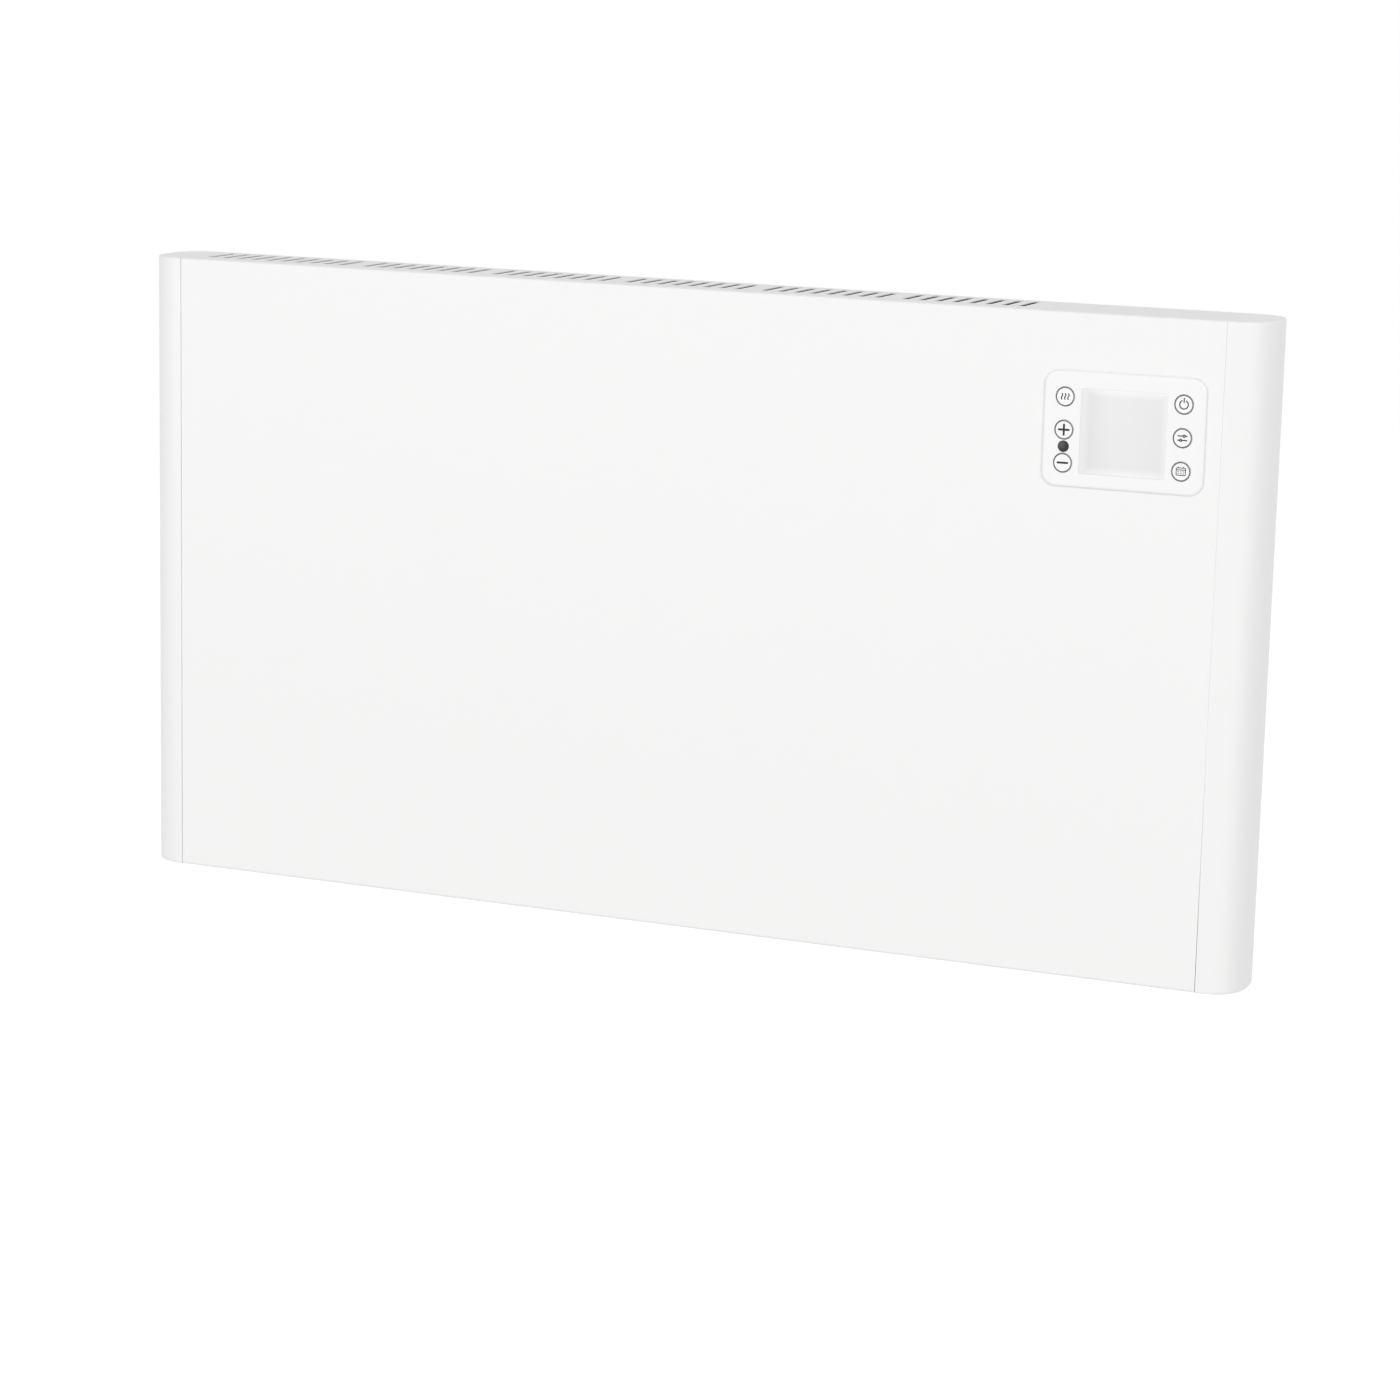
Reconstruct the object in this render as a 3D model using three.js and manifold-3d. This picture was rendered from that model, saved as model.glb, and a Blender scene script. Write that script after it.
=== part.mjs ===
// Wall panel convector heater, in millimetres.
// +X is to the right as seen from the room, +Y points into the wall and +Z is up.
// The origin is the middle of the wall bracket's back face, so the wall is the plane y = 0.
import * as THREE from 'three';
import { mergeVertices } from 'three/addons/utils/BufferGeometryUtils.js';
import Module from 'manifold-3d';

const wasm = await Module();
wasm.setup();

// ---------------------------------------------------------------- driving dimensions
// Body
const WIDTH = 853; // over both end caps
const HEIGHT = 460;
const DEPTH = 65; // front face to rear cover
const WALL_GAP = 20; // from the rear cover to the wall
const CAP_WIDTH = 29.6; // one end cap, from its seam to its outermost point
const CAP_SQUARENESS = 2.6; // exponent of the end cap's superellipse; 2 is a plain ellipse
const CAP_SIDES = 36; // straight sides of its plan, all the way round
const CAP_WALL = 2.2;
const CAP_TONGUE = 9; // how far the cap's tongue reaches into the casing
const CAP_EDGE = 1.5; // round along the cap's top and bottom rim
const SEAT = 0.3; // gap between two pieces that touch
const SEAM = 0.4; // visible gap between the casing and an end cap

// Sheet metal
const SHEET = 1; // casing
const BEND = 2; // outer radius of the casing's folds
const RAIL_HEIGHT = 14; // height of the strips that the rear cover is screwed to
const COVER_SHEET = 0.8; // rear cover
const THIN_SHEET = 0.8; // heat shield, bulkhead and element brackets

// Air slots, the same above and below
const SLOT_WIDTH = 5;
const SLOT_LENGTH = 40;
const SLOT_SETBACK = 17.5; // from the front face to the near end of a slot
const SLOT_PITCH = 12;
const SLOT_START = 14; // from the left seam to the first slot's centre
const FIRST_GROUP = 10; // slots in the first group
const GROUP = 8; // slots in each later group
const GROUP_STEP = 20.5; // from the last slot of a group to the first of the next
const SLOT_CLEARANCE = 9; // least distance from a slot's centre to the bulkhead
const BOX_SLOTS = 4; // slots under the electronics box
const BOX_SLOT_INSET = 28; // from the bulkhead to the first of them
const REAR_SLOT_HEIGHT = 18; // air inlets low on the rear cover
const REAR_SLOT_RISE = 18; // from the bottom to their lower ends
const REAR_GROUP_X = 110; // from the middle to each group of them

// Control panel
const PANEL_RADIUS = 10;
const PANEL_RISE = 2.2; // how far its face stands out of the front
const PANEL_BEVEL = 3; // width of the slope around its face
const PANEL_BEVEL_DEPTH = 1.6;
const PANEL_FLANGE = 4.5; // overlap on the front sheet
const PANEL_INSET = 11; // from the right seam
const PANEL_DROP = 39.35; // from the top
const SKIRT_WALL = 2;
const SKIRT_LIP = 3; // how far the skirt reaches past the control board
const WINDOW_WIDTH = 60;
const WINDOW_HEIGHT = 58;
const WINDOW_RECESS = 0.2;
const WINDOW_TO_KEY = 3.6; // from the window to the tabs of the keys
const KEY_TO_SKIRT = 1;
const PANEL_END_GAP = 3.6; // above and below the window, to the skirt
const KEY_DIAMETER = 13.2;
const KEY_GAP = 0.3; // around each key
const KEY_DROP = 0.7; // keys and window sit this far below the panel's middle
const KEY_PROUD = 0.3; // how far a key stands out of the panel
const KEY_TAB = 0.8; // reach of the two tabs that keep a key in
const KEY_TAB_HEIGHT = 6;
const KEY_TAB_THICKNESS = 1;
const KEY_STEM = 1.6; // radius
const KEY_STEM_LENGTH = 2.5; // from the tabs to the switch
const KEY_TRAVEL = 0.8;
const EYE_DIAMETER = 7.6; // remote-control window between plus and minus
const EYE_WEB = 0.25; // panel left between the eye and each key
const DISPLAY_MARGIN = 1.5; // of the display module around its window
const BOARD = 1.6; // thickness of both circuit boards
const SWITCH_SIDE = 6;
const SWITCH_HEIGHT = 3.5;
const SWITCH_DIP = 0.8; // how far a key's stem reaches into its switch at rest
const RECEIVER_SIDE = 5;

// Electronics box at the right end
const BOX_MARGIN = 16; // from the bulkhead to the control panel's skirt
const TRAY_SHEET = 2;
const TRAY_MARGIN = 1; // beside the tray
const TRAY_RIM = 12.6; // from the tray's edge to the power board
const TRAY_BOSS = 9.5; // height of the bosses that hold the power board
const BOSS_RADIUS = 3.5;
const POWER_HEIGHT = 150;
const POWER_RISE = 85; // from the bottom of the body to the board's lower edge
const RELAY_WIDTH = 16;
const RELAY_HEIGHT = 20;
const RELAY_DEPTH = 19;
const RELAY_GAP = 8;
const RELAY_DROP = 16; // from the board's upper edge
const COIL_SIDE = 32; // supply transformer
const COIL_DEPTH = 22;
const CAPACITOR_RADIUS = 6;
const CAPACITOR_DEPTH = 20;
const COIL_TO_CAPACITOR = 10;
const TERMINAL_WIDTH = 30;
const TERMINAL_HEIGHT = 14;
const TERMINAL_DEPTH = 16;
const TERMINAL_RISE = 8; // from the board's lower edge
const TERMINAL_HOLE = 2.8; // radius of the holes over its screws
const RIBBON_WIDTH = 14;
const RIBBON_THICKNESS = 1.2;
const RIBBON_BEND = 4;
const RIBBON_INSET = 12; // from the control board's lower edge
const RIBBON_DROP = 8; // from the power board's upper edge

// Heating element and what carries it
const ELEMENT_RISE = 110; // height of its axis above the bottom
const ELEMENT_AIR = 6.4; // between the element and the sheets in front and behind
const ELEMENT_HUB = 8; // radius
const FIN_THICKNESS = 1.6;
const FINS = 3; // cross fins on each wing
const FIN_REACH = 5;
const ROD_RADIUS = 4.2;
const ROD_REACH = 9; // past each bracket
const PIN_RADIUS = 2;
const PIN_LENGTH = 9;
const BUSH_RADIUS = 7;
const BUSH_COLLAR = 2; // width and thickness of the bush's collar
const BUSH_LENGTH = 10; // inside its bracket
const BUSH_TIP = 5; // outside its bracket
const LEFT_BRACKET_INSET = 60; // from the left seam
const RIGHT_BRACKET_INSET = 40; // from the bulkhead
const BRACKET_FOOT = 14;
const BRACKET_END = 6; // past the return lead's hole
const SHIELD_TOP_MARGIN = 80;
const SHIELD_BOTTOM_MARGIN = 40;
const SHIELD_SIDE_MARGIN = 14;
const LEAD_RADIUS = 1.7;
const WIRE_SIDES = 6;
const WIRE_STEP = 6; // length of one straight step, in radii of the wire
const LEAD_DROP = 6; // return lead below the element
const LEAD_BEND = 14;
const LEAD_STUB = 2; // straight lead past a terminal pin
const LEAD_THROUGH = 4; // straight lead past the bulkhead
const CUTOUT_RADIUS = 8; // overheat cut-out
const CUTOUT_FLANGE = 1; // width and thickness of its flange
const CUTOUT_BODY = 7;
const CUTOUT_RISE = 55; // above the element's axis
const CUTOUT_BLADE = 6;
const FUSE_RADIUS = 2.2;
const FUSE_LENGTH = 14;
const FUSE_RISE = 19; // above the element's axis
const SENSOR_WIDTH = 10;
const SENSOR_INSET = 14; // from the bulkhead to the room sensor
const SENSOR_FOOT = 6;
const SENSOR_HEIGHT = 20;
const SENSOR_RADIUS = 2.5;

// Wall bracket
const BRACKET_WIDTH = 400;
const BRACKET_PLATE = 150; // height of the plate on the wall
const BRACKET_SHEET = 2;
const BRACKET_EAR_END = 25; // ear above the upper hook's seat and below the lower one's
const BRACKET_HOLE_X = 150;
const BRACKET_HOLE_Z = 50;
const BRACKET_HOLE_WIDTH = 6;
const BRACKET_HOLE_HEIGHT = 16;
const HOOK_RISE = 100; // from the bracket's middle to each hook's seat
const HOOK_NECK = 18; // height of a hook where it passes the rear cover
const HOOK_FINGER = 3.5; // thickness of the finger behind the cover
const HOOK_CATCH = 10; // how far the finger stands above the seat
const HOOK_ROOM = 5.7; // from the finger to the heat shield
const SLIT_SIDE = 1; // room beside an ear in its slit
const SLIT_SPARE = 6; // room below a hook when the body is lifted off
const LIFT = 12; // how far the body is lifted to come off its hooks

// Small outside parts
const SPACER_RADIUS = 11;
const SPACER_TIP = 8; // radius at the wall
const SPACER_INSET = 96; // from a seam to its axis
const SPACER_RISE = 35; // height of its axis above the bottom
const GLAND_BORE = 4.6; // radius
const GLAND_WALL = 2.8;
const GLAND_COLLAR = 2.6; // width and thickness of both collars
const GLAND_PROUD = 11; // from the rear cover to the gland's mouth
const GLAND_INSET = 36; // from the right seam
const GLAND_RISE = 30;
const SCREW_HEAD = 3.6; // radius
const SCREW_HEAD_HEIGHT = 2;
const SCREW_SHANK = 1.6; // radius
const SCREW_LENGTH = 9;
const SCREW_INSET = 66; // from a seam to the outer screws of the rear cover
const SCREW_EDGE = 7.2; // from the rear cover's edge to its screws
const CAP_SCREW_RISE = 150; // above and below the middle
const CAP_BOSS = 5; // half the height of a cap's screw boss

// ---------------------------------------------------------------- places worked out from them
const top = HEIGHT / 2;
const bottom = -top;
const back = -WALL_GAP;
const front = back - DEPTH;
const seam = WIDTH / 2 - CAP_WIDTH; // half the casing's width
const insideFront = front + SHEET;
const coverInside = back - COVER_SHEET;
const coverSeat = coverInside - SEAT; // what rests on the inside of the rear cover
const railFront = coverSeat - SHEET;
const tongueEnd = seam - CAP_TONGUE;
const slotMiddle = front + SLOT_SETBACK + SLOT_LENGTH / 2;

const keyRadius = KEY_DIAMETER / 2;
const keyHole = keyRadius + KEY_GAP;
const keyReach = keyHole + KEY_TAB;
const eyeRadius = EYE_DIAMETER / 2;
const keyColumn = WINDOW_WIDTH / 2 + WINDOW_TO_KEY + keyReach;
const keyPitch = 2 * (keyHole + EYE_WEB + eyeRadius + SEAT);
const skirtWidth = 2 * (keyColumn + keyReach + KEY_TO_SKIRT + SKIRT_WALL);
const skirtHeight = 2 * (Math.max(WINDOW_HEIGHT / 2, keyPitch + keyHole) + PANEL_END_GAP + SKIRT_WALL);
const skirtRadius = PANEL_RADIUS - PANEL_FLANGE;
const panelWidth = skirtWidth + 2 * PANEL_FLANGE;
const panelHeight = skirtHeight + 2 * PANEL_FLANGE;
const panelX = seam - PANEL_INSET - panelWidth / 2;
const panelZ = top - PANEL_DROP - panelHeight / 2;
const keyZ = panelZ - KEY_DROP;
const eyeZ = keyZ - keyPitch / 2;
const panelFront = front - PANEL_RISE;
const panelBack = front - SEAT; // back of the panel's face, on the front sheet
const behindPanel = panelBack + SEAT; // what rests on the back of the panel's face
const tabBack = behindPanel + KEY_TAB_THICKNESS;
const switchFront = tabBack + KEY_STEM_LENGTH;
const boardFront = switchFront + SWITCH_HEIGHT + SEAT;
const boardBack = boardFront + BOARD;
const skirtBack = boardBack + SKIRT_LIP;

const bulkhead = panelX - skirtWidth / 2 - BOX_MARGIN;
const trayFront = coverSeat - TRAY_SHEET;
const trayLeft = bulkhead + THIN_SHEET + TRAY_MARGIN;
const trayRight = tongueEnd - TRAY_MARGIN;
const powerBack = trayFront - TRAY_BOSS - SEAT;
const powerFront = powerBack - BOARD;
const powerX = (trayLeft + trayRight) / 2;
const powerWidth = trayRight - trayLeft - 2 * TRAY_RIM;
const powerBottom = bottom + POWER_RISE;
const powerTop = powerBottom + POWER_HEIGHT;
const onPower = powerFront - SEAT; // what is soldered to the power board

const shieldFront = coverInside - HOOK_FINGER - HOOK_ROOM - THIN_SHEET;
const elementY = (insideFront + shieldFront) / 2;
const elementZ = bottom + ELEMENT_RISE;
const elementSpan = (shieldFront - insideFront) / 2 - ELEMENT_AIR;
const leftBracket = -seam + LEFT_BRACKET_INSET;
const rightBracket = bulkhead - RIGHT_BRACKET_INSET;
const returnZ = elementZ - elementSpan - LEAD_DROP;
const leadHole = LEAD_RADIUS + SEAT;

const earX = BRACKET_WIDTH / 2 - BRACKET_SHEET / 2;
const earFront = back + SEAT;
const slitHeight = HOOK_NECK + LIFT + SLIT_SPARE;
const glandX = seam - GLAND_INSET;
const glandZ = bottom + GLAND_RISE;
const glandBody = GLAND_BORE + GLAND_WALL;

// ---------------------------------------------------------------- shapes and solids
// A closed mesh as a solid that can be joined and cut.
function solidOf(geometry) {
  const bare = new THREE.BufferGeometry();
  const flat = geometry.index ? geometry.toNonIndexed() : geometry;
  bare.setAttribute('position', flat.getAttribute('position'));
  const merged = mergeVertices(bare, 1e-4);
  const vertProperties = new Float32Array(merged.attributes.position.array);
  const triVerts = new Uint32Array(merged.index.array);
  return new wasm.Manifold(new wasm.Mesh({ numProp: 3, vertProperties, triVerts }));
}

// A joined or cut solid as a flat-shaded geometry.
function geometryOf(solid) {
  const mesh = solid.getMesh();
  const geometry = new THREE.BufferGeometry();
  geometry.setAttribute('position', new THREE.BufferAttribute(new Float32Array(mesh.vertProperties), 3));
  geometry.setIndex(new THREE.BufferAttribute(new Uint32Array(mesh.triVerts), 1));
  const faceted = geometry.toNonIndexed();
  faceted.computeVertexNormals();
  return faceted;
}

const join = (...solids) => wasm.Manifold.union(solids);
const cut = (solid, ...tools) => solid.subtract(wasm.Manifold.union(tools));

// A block between two opposite corners, given in any order.
function block(x0, x1, y0, y1, z0, z1) {
  const geometry = new THREE.BoxGeometry(Math.abs(x1 - x0), Math.abs(y1 - y0), Math.abs(z1 - z0));
  geometry.translate((x0 + x1) / 2, (y0 + y1) / 2, (z0 + z1) / 2);
  return solidOf(geometry);
}

// Columns of the turn that lays a flat outline and its thickness along an axis. An outline is
// drawn in (y, z) for a prism along x, in (x, z) for one along y and in (x, y) for one along z.
const turns = {
  x: [new THREE.Vector3(0, 1, 0), new THREE.Vector3(0, 0, 1), new THREE.Vector3(1, 0, 0)],
  y: [new THREE.Vector3(1, 0, 0), new THREE.Vector3(0, 0, 1), new THREE.Vector3(0, -1, 0)],
  z: [new THREE.Vector3(1, 0, 0), new THREE.Vector3(0, 1, 0), new THREE.Vector3(0, 0, 1)],
};

// A flat outline pulled along an axis between two places, given in any order.
function prism(shape, axis, from, to) {
  const [low, high] = [Math.min(from, to), Math.max(from, to)];
  const geometry = new THREE.ExtrudeGeometry(shape, { depth: high - low, bevelEnabled: false });
  geometry.applyMatrix4(new THREE.Matrix4().makeBasis(...turns[axis]));
  const start = { x: [low, 0, 0], y: [0, high, 0], z: [0, 0, low] };
  geometry.translate(...start[axis]);
  return solidOf(geometry);
}

// The arc that rounds one corner of an outline.
function roundCorner(before, corner, after, radius, steps) {
  const a = before.clone().sub(corner).normalize();
  const b = after.clone().sub(corner).normalize();
  const half = Math.acos(THREE.MathUtils.clamp(a.dot(b), -1, 1)) / 2;
  const centre = a.clone().add(b).normalize().multiplyScalar(radius / Math.sin(half)).add(corner);
  const first = a.multiplyScalar(radius / Math.tan(half)).add(corner).sub(centre);
  const last = b.multiplyScalar(radius / Math.tan(half)).add(corner).sub(centre);
  const turn = Math.PI - 2 * half;
  const arc = [];
  for (let k = 0; k <= steps; k += 1) {
    const point = first.clone().multiplyScalar(Math.sin((1 - k / steps) * turn) / Math.sin(turn));
    arc.push(point.addScaledVector(last, Math.sin((k / steps) * turn) / Math.sin(turn)).add(centre));
  }
  return arc;
}

// An outline from corners [u, v, radius]. A corner without a radius stays sharp.
function outline(corners, steps = 2) {
  const place = (i) => new THREE.Vector2(...corners[(i + corners.length) % corners.length].slice(0, 2));
  const points = corners.flatMap(([, , radius], i) =>
    radius > 0 ? roundCorner(place(i - 1), place(i), place(i + 1), radius, steps) : [place(i)]);
  return new THREE.Shape(points);
}

// A rectangle about a centre, with round corners.
function plate(u, v, width, height, radius = 0, steps = 3) {
  const [a, b] = [width / 2, height / 2];
  const signs = [[-1, -1], [1, -1], [1, 1], [-1, 1]];
  return outline(signs.map(([i, j]) => [u + i * a, v + j * b, radius]), steps);
}

// How many straight sides stand for a round of this radius.
const sidesOf = (radius) => Math.min(8 + 4 * Math.floor(radius / 1.5), 24);

// A circle drawn with straight sides.
function circle(u, v, radius, sides = sidesOf(radius)) {
  const points = [];
  for (let k = 0; k < sides; k += 1) {
    const angle = (2 * Math.PI * (k + 0.5)) / sides;
    points.push(new THREE.Vector2(u + radius * Math.cos(angle), v + radius * Math.sin(angle)));
  }
  return new THREE.Shape(points);
}

// A round bar along an axis, and a hole's tool. u and v are its centre on the other two axes.
const bar = (axis, u, v, radius, from, to) => prism(circle(u, v, radius), axis, from, to);

// A round piece about an axis along y through (x, z). Its closed profile runs in (radius, y).
function turned(profile, x, z) {
  const widest = Math.max(...profile.map(([r]) => r));
  const points = profile.map(([r, y]) => new THREE.Vector2(r, y));
  const geometry = new THREE.LatheGeometry(points, sidesOf(widest));
  geometry.translate(x, 0, z);
  return solidOf(geometry);
}

// A wire through a list of points.
function wire(points, radius) {
  const route = new THREE.CatmullRomCurve3(points.map((p) => new THREE.Vector3(...p)), false, 'centripetal');
  const steps = Math.ceil(route.getLength() / (WIRE_STEP * radius));
  return solidOf(new THREE.ExtrudeGeometry(circle(0, 0, radius, WIRE_SIDES), { steps, extrudePath: route }));
}

// ---------------------------------------------------------------- finishes
function finish(color, roughness, metalness = 0) {
  return new THREE.MeshStandardMaterial({ color, roughness, metalness });
}
const whitePaint = finish(0xf3f3f2, 0.45);
const whitePlastic = finish(0xf1f1f0, 0.4);
const keyPlastic = finish(0xf5f5f4, 0.35);
const displayGrey = finish(0xe6e6e6, 0.2);
const blackGloss = finish(0x0c0c0d, 0.12);
const blackPlastic = finish(0x1b1b1d, 0.5);
const galvanised = finish(0xb9bdc0, 0.4, 0.9);
const aluminium = finish(0xc6c8ca, 0.35, 0.95);
const steel = finish(0xa6a8aa, 0.35, 1);
const ceramic = finish(0xe9e4d8, 0.6);
const boardGreen = finish(0x1f5a38, 0.5);
const relayBlue = finish(0x2a4f86, 0.45);
const ribbonGrey = finish(0xb5b7ba, 0.55);
const redSilicone = finish(0xa5281e, 0.5);
const blueSilicone = finish(0x23508f, 0.5);
const darkRubber = finish(0x3a3c3e, 0.8);

const heater = new THREE.Group();

// Adds one named piece.
function piece(name, solid, material) {
  const mesh = new THREE.Mesh(geometryOf(solid), material);
  mesh.name = name;
  heater.add(mesh);
}

// ---------------------------------------------------------------- screws
const bothSides = [-1, 1];
const coverScrews = [-1, 0, 1].flatMap((side) =>
  bothSides.map((end) => [side * (seam - SCREW_INSET), end * (top - SEAT - SCREW_EDGE)]));
const capScrews = bothSides.flatMap((side) =>
  bothSides.map((end) => [side * (seam - CAP_TONGUE / 2), end * CAP_SCREW_RISE]));
const screwTip = back - SCREW_LENGTH;

// The hole for one screw, from behind the rear cover to just past the screw's tip.
const screwHole = ([x, z]) => bar('y', x, z, SCREW_SHANK + SEAT, screwTip - SEAT, back + 1);

// A pan-head screw that stands in the rear cover.
function screw([x, z]) {
  const head = back + SEAT;
  return join(
    bar('y', x, z, SCREW_HEAD, head, head + SCREW_HEAD_HEIGHT),
    bar('y', x, z, SCREW_SHANK, screwTip, head + SCREW_HEAD_HEIGHT / 2),
  );
}

// ---------------------------------------------------------------- casing
// Centres of the air slots along x: one long group, then equal groups as far as the bulkhead allows.
function slotCentres() {
  const centres = [];
  let x = -seam + SLOT_START;
  let count = FIRST_GROUP;
  while (x + (count - 1) * SLOT_PITCH <= bulkhead - SLOT_CLEARANCE) {
    for (let k = 0; k < count; k += 1) {
      centres.push(x + k * SLOT_PITCH);
    }
    x += (count - 1) * SLOT_PITCH + GROUP_STEP;
    count = GROUP;
  }
  return centres;
}

// A slot with pointed round ends: u runs across it and v along it.
function slotShape(u, v, width, length) {
  const [side, end] = [width / 2, length / 2];
  const shoulder = end - side;
  const corners = [
    [u + side, v - shoulder], [u + side, v + shoulder], [u + side / 2, v + end], [u - side / 2, v + end],
    [u - side, v + shoulder], [u - side, v - shoulder], [u - side / 2, v - end], [u + side / 2, v - end],
  ];
  return outline(corners);
}

// The tool for one air slot of the casing.
const airSlot = (x, from, to) => prism(slotShape(x, slotMiddle, SLOT_WIDTH, SLOT_LENGTH), 'z', from, to);

// One sheet folded into the front and the bottom. It turns over the top edge to meet the top grille.
function frontCasing() {
  const insideBend = BEND - SHEET;
  const profile = outline([
    [front + BEND, top],
    [front, top, BEND],
    [front, bottom, BEND],
    [coverSeat, bottom],
    [coverSeat, bottom + SHEET],
    [insideFront, bottom + SHEET, insideBend],
    [insideFront, top - SHEET, insideBend],
    [front + BEND, top - SHEET],
  ]);
  const slots = slotCentres().map((x) => airSlot(x, bottom - 1, bottom + 2 * SHEET));
  for (let k = 0; k < BOX_SLOTS; k += 1) {
    slots.push(airSlot(bulkhead + BOX_SLOT_INSET + k * SLOT_PITCH, bottom - 1, bottom + 2 * SHEET));
  }
  const panelHole = plate(panelX, panelZ, skirtWidth + 2 * SEAT, skirtHeight + 2 * SEAT, skirtRadius);
  return cut(
    prism(profile, 'x', -seam, seam),
    ...slots,
    prism(panelHole, 'y', front - 1, insideFront + 1),
  );
}

// The flat slotted sheet that lets the warm air out.
function topGrille() {
  const sheet = block(-seam, seam, front + BEND + SEAT, coverSeat, top - SHEET, top);
  return cut(sheet, ...slotCentres().map((x) => airSlot(x, top - 2 * SHEET, top + 1)));
}

// A strip along the rear edge of the casing's top (end 1) or bottom (end -1), for the cover's screws.
function coverRail(end) {
  const outer = end * (top - SHEET - SEAT);
  const inner = end * (top - RAIL_HEIGHT);
  return cut(block(-seam, seam, railFront, coverSeat, inner, outer), ...coverScrews.map(screwHole));
}

// A flat sheet that closes the back, with air inlets and slits for the bracket's hooks.
function rearCover() {
  const tools = [...coverScrews, ...capScrews].map(screwHole);
  const [from, to] = [coverInside - 1, back + 1];
  tools.push(bar('y', glandX, glandZ, glandBody + SEAT, from, to));
  const slitHalf = BRACKET_SHEET / 2 + SLIT_SIDE;
  bothSides.forEach((side) => {
    bothSides.forEach((end) => {
      const edge = end * HOOK_RISE + SEAT;
      tools.push(block(side * earX - slitHalf, side * earX + slitHalf, from, to, edge - slitHeight, edge));
    });
    for (let k = 0; k < GROUP; k += 1) {
      const x = side * REAR_GROUP_X + (k - (GROUP - 1) / 2) * SLOT_PITCH;
      const z = bottom + REAR_SLOT_RISE + REAR_SLOT_HEIGHT / 2;
      tools.push(prism(slotShape(x, z, SLOT_WIDTH, REAR_SLOT_HEIGHT), 'y', from, to));
    }
  });
  const sheet = plate(0, 0, 2 * (seam - SEAM / 2), HEIGHT - 2 * SEAT, BEND);
  return cut(prism(sheet, 'y', coverInside, back), ...tools);
}

// Plan of an end cap about its seam: a superellipse, drawn in by shrink all round.
function capPlan(side, shrink) {
  const power = (value) => Math.sign(value) * Math.abs(value) ** (2 / CAP_SQUARENESS);
  const points = [];
  for (let k = 0; k < CAP_SIDES; k += 1) {
    const angle = (2 * Math.PI * k) / CAP_SIDES;
    const x = side * seam + (CAP_WIDTH - shrink) * power(Math.cos(angle));
    const y = front + DEPTH / 2 + (DEPTH / 2 - shrink) * power(Math.sin(angle));
    points.push(new THREE.Vector2(x, y));
  }
  return new THREE.Shape(points);
}

// A hollow cap with a tongue that plugs into the casing's end. side is 1 at the right, -1 at the left.
function endCap(side) {
  const round = {
    depth: HEIGHT - 2 * CAP_EDGE,
    bevelThickness: CAP_EDGE,
    bevelSize: CAP_EDGE,
    bevelOffset: -CAP_EDGE,
    bevelSegments: 2,
  };
  const full = new THREE.ExtrudeGeometry(capPlan(side, 0), round);
  full.translate(0, 0, bottom + CAP_EDGE);
  const face = side * (seam + SEAM);
  const rim = face + side * CAP_WALL;
  const far = side * (seam + CAP_WIDTH + 1);
  const body = solidOf(full).intersect(block(face, far, front - 1, back + 1, bottom - 1, top + 1));
  const hollow = prism(capPlan(side, CAP_WALL), 'z', bottom + CAP_WALL, top - CAP_WALL)
    .intersect(block(rim, far, front, back, bottom, top));
  const gap = SHEET + SEAT;
  const depth = railFront - SEAT - (front + gap);
  const middle = front + gap + depth / 2;
  const height = HEIGHT - 2 * gap;
  const inside = side * tongueEnd;
  const tongue = prism(plate(middle, 0, depth, height, BEND), 'x', inside, rim);
  const bore = plate(middle, 0, depth - 2 * CAP_WALL, height - 2 * CAP_WALL, BEND / 2);
  const shell = cut(join(body, tongue), hollow, prism(bore, 'x', inside - side, rim + side));
  const bosses = bothSides.map((end) => {
    const z = end * CAP_SCREW_RISE;
    return block(inside, rim, railFront - SEAT - SCREW_LENGTH, railFront - SEAT, z - CAP_BOSS, z + CAP_BOSS);
  });
  return cut(join(shell, ...bosses), ...capScrews.map(screwHole));
}

// A thin wall between the heating chamber and the electronics box.
function boxBulkhead() {
  const gap = SHEET + SEAT;
  const depth = railFront - SEAT - (front + gap);
  const [from, to] = [bulkhead - 1, bulkhead + THIN_SHEET + 1];
  const wall = plate(front + gap + depth / 2, 0, depth, HEIGHT - 2 * gap, BEND);
  return cut(
    prism(wall, 'x', bulkhead, bulkhead + THIN_SHEET),
    bar('x', elementY, elementZ, leadHole, from, to),
    bar('x', elementY, returnZ, leadHole, from, to),
    bar('x', elementY, elementZ + CUTOUT_RISE, CUTOUT_BODY + SEAT, from, to),
  );
}

// A shallow tray of thin sheet that keeps the heat off the rear cover.
function heatShield() {
  const [high, low] = [top - SHIELD_TOP_MARGIN, bottom + SHIELD_BOTTOM_MARGIN];
  const behind = shieldFront + THIN_SHEET;
  const profile = outline([
    [shieldFront, low],
    [coverSeat, low],
    [coverSeat, low + THIN_SHEET],
    [behind, low + THIN_SHEET],
    [behind, high - THIN_SHEET],
    [coverSeat, high - THIN_SHEET],
    [coverSeat, high],
    [shieldFront, high],
  ]);
  return prism(profile, 'x', -tongueEnd + SHIELD_SIDE_MARGIN, bulkhead - SHIELD_SIDE_MARGIN);
}

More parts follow.
